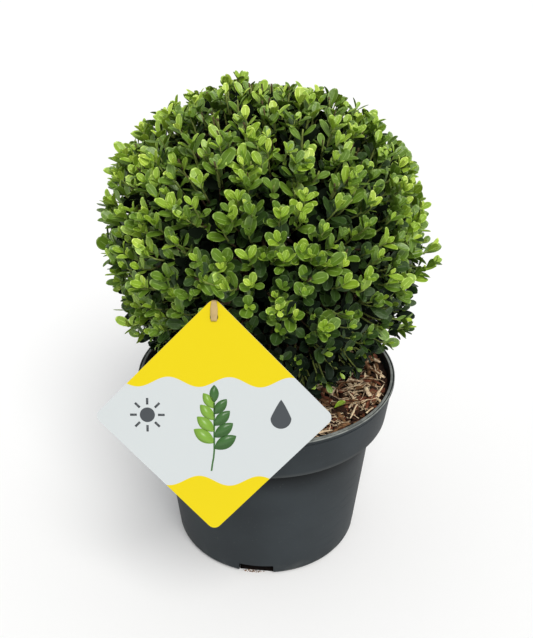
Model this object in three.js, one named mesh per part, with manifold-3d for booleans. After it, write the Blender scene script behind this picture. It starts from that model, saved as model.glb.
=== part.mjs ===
// Potted Japanese holly ball: an evergreen shrub clipped to a ball, in a round nursery pot of about
// five litres, with a plain swing tag hung on a rubber band. Millimetres, +Z up. The origin is the
// middle of the pot's flat underside, and the tag hangs on the front, at -Y.

import * as THREE from 'three';
import { mergeVertices } from 'three/addons/utils/BufferGeometryUtils.js';
import Module from 'manifold-3d';

const wasm = await Module();
wasm.setup();

// Clearance between pieces that touch
const SEAT_GAP = 0.35;

// Pot: a deep collar under a rolled lip, an undercut step and a tapering body
const POT_HEIGHT = 171;
const RIM_RADIUS = 115;
const LIP_HEIGHT = 3.2;
const LIP_OUT = 1.6;
const COLLAR_FOOT_HEIGHT = 133.8;
const COLLAR_FOOT_RADIUS = 109.6;
const BODY_TOP_RADIUS = 98.5;
const BODY_FOOT_RADIUS = 86.2;
const HEEL_RADIUS = 6;
const POT_WALL = 2;
const POT_FLOOR = 7;
const FLOOR_CURVE = 3;
const EDGE_CHAMFER = 0.8;
const POT_SIDES = 48;

// Drainage notches in the foot of the pot
const NOTCH_COUNT = 4;
const NOTCH_WIDTH = 30;
const NOTCH_HEIGHT = 4.7;
const NOTCH_DEPTH = 14;
const FRONT_NOTCH_TURN = -6.4;

// Bark mulch and potting soil that fill the pot
const SOIL_EDGE_HEIGHT = 150;
const SOIL_CROWN_HEIGHT = 154;
const SOIL_RINGS = [0.84, 0.66, 0.46];
const SOIL_ROUGHNESS = 1.6;
const TRUNK_SEAT_RADIUS = 26;

// Ball of foliage, measured to the leaf tips
const BALL_CENTRE = new THREE.Vector3(0, 0, 292.5);
const BALL_RADIUS = 136;
const CORE_RADIUS = 105;
const CORE_ROUGHNESS = 3;

// Trunk and boughs under the ball
const TRUNK_FLARE_RADIUS = 14;
const TRUNK_RADIUS = 7;
const TRUNK_LEAN = 3;
const STEM_LENGTH = 30;
const STEM_BELOW_CORE = 5;
const FORK_HEIGHT = 166;
const BOUGH_COUNT = 4;
const BOUGH_FOOT_RADIUS = 4.5;
const BOUGH_TIP_RADIUS = 3;
const BOUGH_LENGTH = 62;
const BOUGH_SPREAD = 58;
const BOUGH_BEND = 1.5;
const FIRST_BOUGH_TURN = 38;

// Shoots and leaves
const SHOOT_COUNT = 78;
const SHOOT_RADIUS = 2.3;
const SHOOT_SUNK = 22;
const SHOOT_STRAY = 4;
const LEAVED_LENGTH = 9;
const LEAVES_PER_SHOOT = 5;
const LEAF_LENGTH = 31;
const LEAF_WIDTH = 18;
const LEAF_THICKNESS = 1.8;
const LEAF_BROADEST = 0.62;
const TIP_LEAF_SHARE = 0.68;
const LEAF_ROOT_SUNK = 0.6;
const LEAF_ATTEMPTS = 5;
const GOLDEN_ANGLE = Math.PI * (3 - Math.sqrt(5));

// Where the clipping left the ball fuller or thinner, as turns round +Z from +X, heights above the
// middle, rises in millimetres and spreads, all angles in degrees
const BULGES = [
  { turn: 164, height: 26, rise: 5, spread: 34 },
  { turn: 30, height: 42, rise: 2.5, spread: 26 },
  { turn: 202, height: -34, rise: -8, spread: 22 },
];

// Single shoots that have grown past the clipped outline, as turn, height and reach past it
const STRAY_SHOOTS = [
  { turn: -4, height: -7, past: 9 },
  { turn: 110, height: 59, past: 5 },
  { turn: 190, height: -24, past: 4 },
  { turn: 62, height: 20, past: 6 },
  { turn: -112, height: 34, past: 4 },
];

// Swing tag: a card hung by its top corner, square to the view and leaning out at the foot
const TAG_CORNER = new THREE.Vector3(-36.7, -130, 308.3);
const TAG_SIDE = 116.8;
const TAG_THICKNESS = 1;
const TAG_LEAN = 20;
const TAG_CORNER_RADIUS = 6;
const TAG_HOLE_RADIUS = 3.2;
const TAG_HOLE_DROP = 13.7;

// Rubber band through the tag's hole and round a twig, in the tag's own plane: up and out
const BAND_WIDTH = 5;
const BAND_THICKNESS = 1.6;
const BAND_BEND = TAG_THICKNESS / 2 + SEAT_GAP + BAND_THICKNESS / 2 + 0.3;
const TWIG_RADIUS = 1.6;
const TWIG_UP = 6.5;
const TWIG_BACK = 9;
const BAND_WRAP = TWIG_RADIUS + SEAT_GAP + BAND_THICKNESS / 2;
const BAND_STEPS = 44;

// Room kept free of leaves round other pieces, and round the band in the tag's own frame
const LEAF_CLEARANCE = 3;
const TAG_CLEARANCE = 2;
const BAND_ROOM = new THREE.Box3(new THREE.Vector3(-5, -20, -15), new THREE.Vector3(5, 12.5, 20));

const FINISHES = {
  pot: { color: '#3c4245', roughness: 0.5, metalness: 0 },
  soil: { color: '#6b4a2e', roughness: 1, metalness: 0 },
  bark: { color: '#6f5a43', roughness: 0.9, metalness: 0 },
  leaf: { color: '#4f7a22', roughness: 0.55, metalness: 0 },
  tag: { color: '#f2dc2c', roughness: 0.35, metalness: 0 },
  band: { color: '#c9a787', roughness: 0.6, metalness: 0 },
};

const UP = new THREE.Vector3(0, 0, 1);

// A seeded source of numbers between 0 and 1, so that the same shrub grows each time.
function seeded(seed) {
  let state = seed;
  return () => {
    state = (state + 0x6d2b79f5) | 0;
    let mixed = Math.imul(state ^ (state >>> 15), 1 | state);
    mixed = (mixed + Math.imul(mixed ^ (mixed >>> 7), 61 | mixed)) ^ mixed;
    return ((mixed ^ (mixed >>> 14)) >>> 0) / 4294967296;
  };
}

// The direction at a turn round +Z from +X and a height above the level, in degrees.
function directionAt(turn, height) {
  const flat = Math.cos(THREE.MathUtils.degToRad(height));
  return new THREE.Vector3(
    flat * Math.cos(THREE.MathUtils.degToRad(turn)),
    flat * Math.sin(THREE.MathUtils.degToRad(turn)),
    Math.sin(THREE.MathUtils.degToRad(height)),
  );
}

// A closed geometry as a solid, with its shared vertices merged and its flat faces dropped.
function solidFrom(geometry) {
  const bare = geometry.clone();
  bare.deleteAttribute('normal');
  bare.deleteAttribute('uv');
  const merged = mergeVertices(bare, 1e-3);
  const corners = merged.index.array;
  const kept = [];
  for (let i = 0; i < corners.length; i += 3) {
    const [a, b, c] = [corners[i], corners[i + 1], corners[i + 2]];
    if (a !== b && b !== c && c !== a) kept.push(a, b, c);
  }
  const vertProperties = Float32Array.from(merged.attributes.position.array);
  const made = new wasm.Manifold(
    new wasm.Mesh({ numProp: 3, vertProperties, triVerts: Uint32Array.from(kept) }),
  );
  if (made.volume() > 0) return made;
  return new wasm.Manifold(
    new wasm.Mesh({ numProp: 3, vertProperties, triVerts: Uint32Array.from(kept).reverse() }),
  );
}

function geometryFrom(solid) {
  const mesh = solid.getMesh();
  const geometry = new THREE.BufferGeometry();
  geometry.setAttribute('position', new THREE.BufferAttribute(mesh.vertProperties, mesh.numProp));
  geometry.setIndex(new THREE.BufferAttribute(mesh.triVerts, 1));
  return geometry;
}

// Joins solids and keeps the outside of the largest body, so that a sealed hollow is filled.
function joined(solids) {
  const bodies = wasm.Manifold.union(solids).decompose();
  return bodies.reduce((largest, body) => (body.volume() > largest.volume() ? body : largest));
}

function namedMesh(name, solid, finish) {
  const mesh = new THREE.Mesh(geometryFrom(solid), new THREE.MeshStandardMaterial(FINISHES[finish]));
  mesh.name = name;
  return mesh;
}

// A round piece turned about Z from its outline of [radius, height] points.
function turned(outline, sides) {
  const points = outline.map(([radius, height]) => new THREE.Vector2(radius, height));
  return new THREE.LatheGeometry(points, sides).rotateX(Math.PI / 2);
}

// The inside of the pot from its floor to its lip, as [radius, height] points.
function potInside() {
  const footRadius = BODY_FOOT_RADIUS - POT_WALL;
  return [
    [footRadius - FLOOR_CURVE, POT_FLOOR],
    [footRadius, POT_FLOOR + FLOOR_CURVE],
    [BODY_TOP_RADIUS - POT_WALL, COLLAR_FOOT_HEIGHT],
    [COLLAR_FOOT_RADIUS - POT_WALL, COLLAR_FOOT_HEIGHT + POT_WALL],
    [RIM_RADIUS - LIP_OUT - POT_WALL, POT_HEIGHT - LIP_HEIGHT],
  ];
}

// The outside from the middle of the underside, round the heel and up to the lip's inner edge.
function potOutside() {
  const flatRadius = BODY_FOOT_RADIUS - HEEL_RADIUS;
  const heel = [30, 60, 90].map((degrees) => {
    const angle = THREE.MathUtils.degToRad(degrees);
    return [flatRadius + HEEL_RADIUS * Math.sin(angle), HEEL_RADIUS * (1 - Math.cos(angle))];
  });
  return [
    [0, 0],
    [flatRadius, 0],
    ...heel,
    [BODY_TOP_RADIUS, COLLAR_FOOT_HEIGHT - POT_WALL],
    [COLLAR_FOOT_RADIUS - EDGE_CHAMFER, COLLAR_FOOT_HEIGHT - EDGE_CHAMFER],
    [COLLAR_FOOT_RADIUS, COLLAR_FOOT_HEIGHT],
    [RIM_RADIUS - LIP_OUT, POT_HEIGHT - LIP_HEIGHT - EDGE_CHAMFER],
    [RIM_RADIUS, POT_HEIGHT - LIP_HEIGHT],
    [RIM_RADIUS, POT_HEIGHT - EDGE_CHAMFER],
    [RIM_RADIUS - EDGE_CHAMFER, POT_HEIGHT],
    [RIM_RADIUS - LIP_OUT - POT_WALL, POT_HEIGHT],
  ];
}

function buildPot() {
  const outline = [...potOutside(), ...potInside().reverse(), [0, POT_FLOOR]];
  let pot = solidFrom(turned(outline, POT_SIDES));
  for (let i = 0; i < NOTCH_COUNT; i += 1) {
    const notch = new THREE.BoxGeometry(NOTCH_WIDTH, 2 * NOTCH_DEPTH, 2 * NOTCH_HEIGHT);
    notch.translate(0, -BODY_FOOT_RADIUS, 0);
    notch.rotateZ(THREE.MathUtils.degToRad(FRONT_NOTCH_TURN + (i * 360) / NOTCH_COUNT));
    pot = pot.subtract(solidFrom(notch));
  }
  return namedMesh('pot', pot, 'pot');
}

// Fills the pot to a little under its lip, with a level seat for the trunk and a lumpy surface.
function buildSoil() {
  const wall = potInside();
  const [floor, heel, step, ledge, lip] = wall;
  const rise = (SOIL_EDGE_HEIGHT - ledge[1]) / (lip[1] - ledge[1]);
  const edgeRadius = THREE.MathUtils.lerp(ledge[0], lip[0], rise) - SEAT_GAP;
  const rings = SOIL_RINGS.map((share) => {
    const height = THREE.MathUtils.lerp(SOIL_CROWN_HEIGHT, SOIL_EDGE_HEIGHT, share);
    return [edgeRadius * share, height];
  });
  const outline = [
    [0, floor[1] + SEAT_GAP],
    [floor[0] - SEAT_GAP, floor[1] + SEAT_GAP],
    [heel[0] - SEAT_GAP, heel[1] + SEAT_GAP / 2],
    [step[0] - SEAT_GAP, step[1] + SEAT_GAP],
    [ledge[0] - SEAT_GAP, ledge[1] + SEAT_GAP],
    [edgeRadius, SOIL_EDGE_HEIGHT],
    ...rings,
    [TRUNK_SEAT_RADIUS, SOIL_CROWN_HEIGHT],
    [0, SOIL_CROWN_HEIGHT],
  ];
  const geometry = turned(outline, POT_SIDES);
  const position = geometry.getAttribute('position');
  for (let i = 0; i < position.count; i += 1) {
    const radius = Math.hypot(position.getX(i), position.getY(i));
    const turn = Math.atan2(position.getY(i), position.getX(i));
    const onTop = position.getZ(i) > SOIL_EDGE_HEIGHT - 1 && radius > TRUNK_SEAT_RADIUS + 1;
    const lump = Math.sin(5 * turn + radius / 9) + 0.7 * Math.sin(11 * turn - radius / 5);
    if (onTop) position.setZ(i, position.getZ(i) + SOIL_ROUGHNESS * lump);
  }
  return namedMesh('soil', solidFrom(geometry), 'soil');
}

// A tapering limb from a foot along a direction: a cylinder whose rings are shifted into a bend.
function limb({ foot, along, length, footRadius, tipRadius, bend, sides, steps }) {
  const geometry = new THREE.CylinderGeometry(tipRadius, footRadius, length, sides, steps);
  geometry.translate(0, length / 2, 0);
  const position = geometry.getAttribute('position');
  for (let i = 0; i < position.count; i += 1) {
    const share = position.getY(i) / length;
    position.setX(i, position.getX(i) + bend * Math.sin(share * Math.PI));
  }
  const turn = new THREE.Quaternion().setFromUnitVectors(new THREE.Vector3(0, 1, 0), along);
  return geometry.applyQuaternion(turn).translate(foot.x, foot.y, foot.z);
}

// How far the clipped outline lies from the ball's middle along a direction.
function outlineReach(direction) {
  let reach = BALL_RADIUS;
  for (const bulge of BULGES) {
    const apart = direction.angleTo(directionAt(bulge.turn, bulge.height));
    const spread = THREE.MathUtils.degToRad(bulge.spread);
    reach += bulge.rise * Math.exp(-((apart / spread) ** 2));
  }
  return reach;
}

// The core's surface, folded like packed foliage but even over the trunk.
function coreRadius(direction) {
  const { x, y, z } = direction;
  const folds = Math.sin(23 * x + 3) * Math.sin(19 * y + 5) + Math.sin(27 * z + 11 * x) * Math.cos(21 * y);
  const roughness = CORE_ROUGHNESS * THREE.MathUtils.smoothstep(z, -0.95, -0.7);
  return CORE_RADIUS + outlineReach(direction) - BALL_RADIUS + roughness * folds;
}

// The dense dark inside of the ball, swollen by a margin where it is used to cut a seat.
function coreSolid(margin) {
  const geometry = new THREE.IcosahedronGeometry(1, 4);
  const position = geometry.getAttribute('position');
  const direction = new THREE.Vector3();
  for (let i = 0; i < position.count; i += 1) {
    direction.fromBufferAttribute(position, i).normalize();
    const radius = coreRadius(direction) + margin;
    position.setXYZ(i, direction.x * radius, direction.y * radius, direction.z * radius);
  }
  geometry.translate(BALL_CENTRE.x, BALL_CENTRE.y, BALL_CENTRE.z);
  return solidFrom(geometry);
}

const CORE_FOOT = BALL_CENTRE.z - coreRadius(new THREE.Vector3(0, 0, -1));
const STEM_FOOT = CORE_FOOT - STEM_BELOW_CORE;
const TRUNK_FOOT = SOIL_CROWN_HEIGHT + SEAT_GAP;
const TRUNK_TIP = STEM_FOOT - SEAT_GAP;

// The trunk from its flat cut at the soil, flaring at the root and leaning a little.
function trunkSolid(margin) {
  const rings = [
    [TRUNK_FLARE_RADIUS, TRUNK_FOOT],
    [TRUNK_FLARE_RADIUS * 0.74, TRUNK_FOOT + 2.5],
    [TRUNK_RADIUS * 1.15, TRUNK_FOOT + 7],
    [TRUNK_RADIUS, FORK_HEIGHT],
    [TRUNK_RADIUS * 0.86, TRUNK_TIP],
  ].map(([radius, height]) => [radius + margin, height]);
  const geometry = turned([[0, TRUNK_FOOT], ...rings, [0, TRUNK_TIP]], 14);
  const position = geometry.getAttribute('position');
  for (let i = 0; i < position.count; i += 1) {
    const share = (position.getZ(i) - TRUNK_FOOT) / (TRUNK_TIP - TRUNK_FOOT);
    position.setX(i, position.getX(i) + TRUNK_LEAN * share * (1 - share));
  }
  return solidFrom(geometry);
}

function boughDirection(index) {
  const steeper = 6 * (index % 2);
  return directionAt(FIRST_BOUGH_TURN + (index * 360) / BOUGH_COUNT, 90 - BOUGH_SPREAD + steeper);
}

// Each bough leaves the trunk a little above the last.
function boughFoot(index) {
  return new THREE.Vector3(0, 0, FORK_HEIGHT - 2 + 1.5 * index);
}

function buildBoughs() {
  const trunkSeat = trunkSolid(SEAT_GAP);
  const coreSeat = coreSolid(SEAT_GAP);
  const boughs = [];
  for (let i = 0; i < BOUGH_COUNT; i += 1) {
    const shape = limb({
      foot: boughFoot(i),
      along: boughDirection(i),
      length: BOUGH_LENGTH,
      footRadius: BOUGH_FOOT_RADIUS,
      tipRadius: BOUGH_TIP_RADIUS,
      bend: BOUGH_BEND,
      sides: 8,
      steps: 4,
    });
    const bough = joined([solidFrom(shape).subtract(trunkSeat).subtract(coreSeat)]);
    boughs.push(namedMesh(`bough_${i + 1}`, bough, 'bark'));
  }
  return boughs;
}

// The tag's own frame: x across the card, y up along it and z out of its face, from its top corner.
function placeOnTag(object) {
  object.position.copy(TAG_CORNER);
  object.rotation.x = THREE.MathUtils.degToRad(90 - TAG_LEAN);
  object.updateMatrixWorld(true);
  return object;
}

const TAG_FRAME = placeOnTag(new THREE.Group());

function buildTag() {
  const half = TAG_SIDE / 2;
  const radius = TAG_CORNER_RADIUS;
  const card = new THREE.Shape();
  card.moveTo(-half + radius, -half);
  card.absarc(half - radius, -half + radius, radius, -Math.PI / 2, 0, false);
  card.absarc(half - radius, half - radius, radius, 0, Math.PI / 2, false);
  card.absarc(-half + radius, half - radius, radius, Math.PI / 2, Math.PI, false);
  card.absarc(-half + radius, -half + radius, radius, Math.PI, 1.5 * Math.PI, false);
  const holeInset = (half * Math.SQRT2 - TAG_HOLE_DROP) / Math.SQRT2;
  const hole = new THREE.Path();
  hole.absarc(holeInset, holeInset, TAG_HOLE_RADIUS, 0, 2 * Math.PI, true);
  card.holes.push(hole);
  const geometry = new THREE.ExtrudeGeometry(card, {
    depth: TAG_THICKNESS,
    bevelEnabled: false,
    curveSegments: 5,
  });
  geometry.translate(0, 0, -TAG_THICKNESS / 2);
  geometry.rotateZ(Math.PI / 4);
  geometry.translate(0, -half * Math.SQRT2, 0);
  return namedMesh('tag', solidFrom(geometry), 'tag');
}

// Points on a round bend of the band, in the plane across the card: y up, z out of the face.
function bend(middleUp, middleOut, radius, startAngle, endAngle, steps) {
  const points = [];
  for (let step = 0; step <= steps; step += 1) {
    const angle = THREE.MathUtils.degToRad(THREE.MathUtils.lerp(startAngle, endAngle, step / steps));
    points.push([middleUp + radius * Math.sin(angle), middleOut + radius * Math.cos(angle)]);
  }
  return points;
}

// The band's middle line: up the front of the card, over its corner, round the twig and back.
function bandRoute() {
  const bottom = -TAG_HOLE_DROP + 1;
  return [
    ...bend(bottom, 0, BAND_BEND, 270, 360, 2),
    [-7, BAND_BEND + 0.3],
    [-4, BAND_BEND + 0.2],
    [-1, BAND_BEND - 0.4],
    [1.4, -0.6],
    ...bend(TWIG_UP, -TWIG_BACK, BAND_WRAP, 55, 235, 4),
    [-3.5, -6.4],
    ...bend(bottom, 0, BAND_BEND, 180, 225, 1),
  ];
}

function buildBand() {
  const middle = bandRoute().map(([up, out]) => new THREE.Vector3(out, up, 0));
  const line = new THREE.CatmullRomCurve3(middle, true, 'centripetal');
  const edges = { outer: [], inner: [] };
  for (let i = 0; i < BAND_STEPS; i += 1) {
    const point = line.getPoint(i / BAND_STEPS);
    const tangent = line.getTangent(i / BAND_STEPS);
    const side = new THREE.Vector2(-tangent.y, tangent.x).multiplyScalar(BAND_THICKNESS / 2);
    edges.outer.push(new THREE.Vector2(point.x, point.y).add(side));
    edges.inner.push(new THREE.Vector2(point.x, point.y).sub(side));
  }
  const [big, small] =
    Math.abs(THREE.ShapeUtils.area(edges.outer)) > Math.abs(THREE.ShapeUtils.area(edges.inner))
      ? [edges.outer, edges.inner]
      : [edges.inner, edges.outer];
  const ring = new THREE.Shape(big);
  ring.holes.push(new THREE.Path(small));
  const geometry = new THREE.ExtrudeGeometry(ring, { depth: BAND_WIDTH, bevelEnabled: false });
  geometry.translate(0, 0, -BAND_WIDTH / 2);
  geometry.rotateY(-Math.PI / 2);
  return namedMesh('band', solidFrom(geometry), 'band');
}

// True where a point would touch the tag, its band, the soil, the pot, the trunk or a bough.
function isTaken(point) {
  const onTag = TAG_FRAME.worldToLocal(point.clone());
  if (BAND_ROOM.containsPoint(onTag)) return true;
  const overCard = Math.abs(onTag.x) - LEAF_CLEARANCE < -onTag.y;
  if (overCard && onTag.z > -TAG_CLEARANCE) return true;
  const radius = Math.hypot(point.x, point.y);
  if (point.z < SOIL_CROWN_HEIGHT + LEAF_CLEARANCE) return true;
  if (radius > RIM_RADIUS - 2 * LEAF_CLEARANCE && point.z < POT_HEIGHT + LEAF_CLEARANCE) return true;
  if (radius < TRUNK_FLARE_RADIUS + LEAF_CLEARANCE && point.z < CORE_FOOT) return true;
  for (let i = 0; i < BOUGH_COUNT; i += 1) {
    const foot = boughFoot(i);
    const axis = new THREE.Line3(foot, foot.clone().addScaledVector(boughDirection(i), BOUGH_LENGTH));
    const nearest = axis.closestPointToPoint(point, true, new THREE.Vector3());
    if (nearest.distanceTo(point) < BOUGH_FOOT_RADIUS + LEAF_CLEARANCE) return true;
  }
  return false;
}

// A leaf of eight faces: widest past its middle, thick at its midrib, its root at the origin.
function leafGeometry(length) {
  const geometry = new THREE.OctahedronGeometry(1, 0);
  const position = geometry.getAttribute('position');
  const width = (LEAF_WIDTH / 2) * (length / LEAF_LENGTH);
  for (let i = 0; i < position.count; i += 1) {
    const y = position.getY(i);
    const alongLeaf = Math.abs(y) > 0.5 ? (y + 1) / 2 : LEAF_BROADEST;
    position.setXYZ(
      i,
      position.getX(i) * width,
      alongLeaf * (length + LEAF_ROOT_SUNK) - LEAF_ROOT_SUNK,
      (position.getZ(i) * LEAF_THICKNESS) / 2,
    );
  }
  return geometry;
}

// A leaf opened away from its shoot and turned round it, with its upper face to the shoot's tip.
function placedLeaf(root, along, opened, turn, length) {
  const side = new THREE.Vector3().crossVectors(along, Math.abs(along.z) < 0.9 ? UP : directionAt(0, 0));
  side.normalize().applyAxisAngle(along, turn);
  const outward = along.clone().multiplyScalar(Math.cos(opened)).addScaledVector(side, Math.sin(opened));
  const across = new THREE.Vector3().crossVectors(along, side).normalize();
  const face = new THREE.Vector3().crossVectors(across, outward);
  const frame = new THREE.Matrix4().makeBasis(across, outward, face).setPosition(root);
  return leafGeometry(length).applyMatrix4(frame);
}

// True where every corner of a piece lies in the ball's own space and touches nothing else there.
function isInSpace(geometry, reach, sunkEnd) {
  const position = geometry.getAttribute('position');
  const point = new THREE.Vector3();
  for (let i = 0; i < position.count; i += 1) {
    point.fromBufferAttribute(position, i);
    if (point.distanceTo(BALL_CENTRE) > reach) return false;
    if (point.distanceTo(sunkEnd) > LEAF_ROOT_SUNK && isTaken(point)) return false;
  }
  return true;
}

// A solid with the sphere round it, to tell quickly which pieces can meet.
function bounded(geometry) {
  geometry.computeBoundingSphere();
  return { solid: solidFrom(geometry), sphere: geometry.boundingSphere };
}

// True where a leaf crosses none of the pieces that have grown before it.
function isClear(piece, grown) {
  return grown.every(
    (other) =>
      !other.sphere.intersectsSphere(piece.sphere) || piece.solid.intersect(other.solid).isEmpty(),
  );
}

// One shoot with leaves turned round it by the golden angle, added to the pieces that have grown.
function growShoot(grown, random, direction, reach, leafCount) {
  const foot = BALL_CENTRE.clone().addScaledVector(direction, coreRadius(direction) - SHOOT_SUNK);
  const aside = directionAt(360 * random(), 180 * random() - 90).cross(direction);
  aside.multiplyScalar(SHOOT_STRAY);
  const tip = BALL_CENTRE.clone().addScaledVector(direction, reach - LEAF_LENGTH * TIP_LEAF_SHARE).add(aside);
  const stem = tip.clone().sub(foot);
  const along = stem.clone().normalize();
  const shape = { foot, along, length: stem.length(), footRadius: SHOOT_RADIUS * 1.2 };
  const twig = limb({ ...shape, tipRadius: SHOOT_RADIUS * 0.8, bend: 0, sides: 3, steps: 1 });
  const shoot = bounded(twig);
  if (!isInSpace(twig, reach, foot) || !isClear(shoot, grown)) return;
  const others = [...grown];
  const leaves = [];
  const start = random() * 2 * Math.PI;
  for (let i = 0; i < leafCount; i += 1) {
    const isTip = i === 0;
    const share = i / (leafCount - 1);
    const root = tip.clone().addScaledVector(along, -0.6 - LEAVED_LENGTH * share);
    const degrees = isTip ? 10 * random() : THREE.MathUtils.lerp(38, 86, share) + 14 * random();
    const opened = THREE.MathUtils.degToRad(degrees);
    const length = LEAF_LENGTH * (isTip ? TIP_LEAF_SHARE + 0.03 : 0.94 + 0.12 * random());
    for (let attempt = 0; attempt < LEAF_ATTEMPTS; attempt += 1) {
      const turn = start + i * GOLDEN_ANGLE + attempt * 0.35 * (attempt % 2 ? 1 : -1);
      const shapeOfLeaf = placedLeaf(root, along, opened, turn, length);
      const leaf = bounded(shapeOfLeaf);
      if (!isInSpace(shapeOfLeaf, reach + 2, root) || !isClear(leaf, [...others, ...leaves])) continue;
      leaves.push(leaf);
      break;
    }
  }
  if (leaves.length > 0) grown.push(shoot, ...leaves);
}

// The twig that the rubber band hangs on: out of the core, then level across behind the tag.
function bandTwig() {
  const hold = TAG_FRAME.localToWorld(new THREE.Vector3(0, TWIG_UP, -TWIG_BACK));
  const elbow = hold.clone().add(new THREE.Vector3(8, 0, 0));
  const inward = BALL_CENTRE.clone().sub(elbow).normalize();
  const root = { along: inward, length: 40, footRadius: TWIG_RADIUS, tipRadius: 2.4 };
  const level = { along: directionAt(180, 0), length: 17, footRadius: TWIG_RADIUS, tipRadius: 1.3 };
  return [
    solidFrom(limb({ foot: elbow, bend: 0, sides: 6, steps: 1, ...root })),
    solidFrom(limb({ foot: elbow, bend: 0, sides: 6, steps: 1, ...level })),
  ];
}

// The clipped mass: a core with its stem, and shoots spread evenly over it by the golden angle.
function buildFoliage() {
  const random = seeded(41);
  const stem = limb({
    foot: new THREE.Vector3(0, 0, STEM_FOOT),
    along: UP,
    length: STEM_LENGTH,
    footRadius: TRUNK_RADIUS * 0.8,
    tipRadius: TRUNK_RADIUS * 0.6,
    bend: 0,
    sides: 8,
    steps: 1,
  });
  const grown = [];
  for (const stray of STRAY_SHOOTS) {
    const direction = directionAt(stray.turn, stray.height);
    growShoot(grown, random, direction, outlineReach(direction) + stray.past, LEAVES_PER_SHOOT);
  }
  for (let i = 0; i < SHOOT_COUNT; i += 1) {
    const height = THREE.MathUtils.radToDeg(Math.asin(1 - (2 * (i + 0.5)) / SHOOT_COUNT));
    const turn = THREE.MathUtils.radToDeg(i * GOLDEN_ANGLE) + 7 * random();
    const direction = directionAt(turn, height + 5 * (random() - 0.5));
    growShoot(grown, random, direction, outlineReach(direction), LEAVES_PER_SHOOT);
  }
  const solids = grown.map((piece) => piece.solid);
  return namedMesh('foliage', joined([coreSolid(0), solidFrom(stem), ...bandTwig(), ...solids]), 'leaf');
}

const part = new THREE.Group();
part.add(buildPot(), buildSoil());
part.add(namedMesh('trunk', trunkSolid(0), 'bark'), ...buildBoughs());
part.add(buildFoliage());

const hungTag = placeOnTag(new THREE.Group());
hungTag.add(buildTag(), buildBand());
part.add(hungTag);

export default part;
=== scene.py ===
"""Looks of a potted Japanese holly ball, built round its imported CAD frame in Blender 4.5.

Metres, +Z up. The origin is the middle of the pot's flat underside, and the swing tag hangs at -Y.
"""

import logging
import math
from collections.abc import Callable, Iterator, Sequence
from contextlib import contextmanager
from dataclasses import dataclass
from enum import Enum
from typing import Any

import bmesh
import bpy
import numpy as np
from mathutils import Matrix, Vector


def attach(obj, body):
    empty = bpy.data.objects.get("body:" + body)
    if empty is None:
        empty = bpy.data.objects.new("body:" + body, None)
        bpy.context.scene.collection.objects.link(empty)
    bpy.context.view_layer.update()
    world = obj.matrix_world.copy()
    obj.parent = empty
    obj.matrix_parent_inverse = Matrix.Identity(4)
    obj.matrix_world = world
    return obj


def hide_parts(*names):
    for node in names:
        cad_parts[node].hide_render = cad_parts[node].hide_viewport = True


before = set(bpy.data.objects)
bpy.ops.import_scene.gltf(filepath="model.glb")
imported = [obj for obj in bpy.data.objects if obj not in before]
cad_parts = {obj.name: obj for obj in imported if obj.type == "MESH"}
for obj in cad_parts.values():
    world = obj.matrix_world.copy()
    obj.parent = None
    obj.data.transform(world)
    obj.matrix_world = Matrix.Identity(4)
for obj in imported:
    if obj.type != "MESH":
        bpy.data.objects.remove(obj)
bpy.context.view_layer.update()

log = logging.getLogger("holly_ball")

Colour = tuple[float, float, float]
Point = tuple[float, float, float]
Pair = tuple[float, float]
Outline = Sequence[Pair]
Array = np.ndarray
Shape = bpy.types.Object

BODY = "root"
PIECE_TRIANGLES = 180_000
GOLDEN_ANGLE = math.pi * (3 - math.sqrt(5))
UP = np.array([0.0, 0.0, 1.0])


class Slot(Enum):
    """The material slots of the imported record."""

    POT = "pot"
    SOIL = "soil"
    BARK = "bark"
    FOLIAGE = "foliage"
    TAG = "tag"
    BAND = "band"


# Shader bench: values are wired by Python's operators, and every node comes from Bench.node


class Wire:
    """One output socket, on which Python's operators add Math nodes."""

    def __init__(self, bench: "Bench", socket: bpy.types.NodeSocket) -> None:
        """Keeps the bench that the socket is on, and the socket."""
        self.bench = bench
        self.socket = socket

    def _math(self, operation: str, first: "Wire | float", second: "Wire | float") -> "Wire":
        """Adds one Math node, of an operation on two values."""
        return self.bench.node("ShaderNodeMath", {"operation": operation}, {0: first, 1: second})

    def __add__(self, other: "Wire | float") -> "Wire":
        """This value and another, added."""
        return self._math("ADD", self, other)

    def __sub__(self, other: "Wire | float") -> "Wire":
        """This value less another."""
        return self._math("SUBTRACT", self, other)

    def __rsub__(self, other: float) -> "Wire":
        """A number less this value."""
        return self._math("SUBTRACT", other, self)

    def __mul__(self, other: "Wire | float") -> "Wire":
        """This value times another."""
        return self._math("MULTIPLY", self, other)

    def __pow__(self, other: float) -> "Wire":
        """This value to a power."""
        return self._math("POWER", self, other)

    __radd__ = __add__
    __rmul__ = __mul__

    def sine(self) -> "Wire":
        """The sine of this value."""
        return self._math("SINE", self, 0.0)

    def step(self, low: float, high: float) -> "Wire":
        """A smooth step of this value, from 0 at the low end to 1 at the high one."""
        inputs = {"Value": self, "From Min": low, "From Max": high}
        return self.bench.node("ShaderNodeMapRange", {"interpolation_type": "SMOOTHSTEP"}, inputs)


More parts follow.
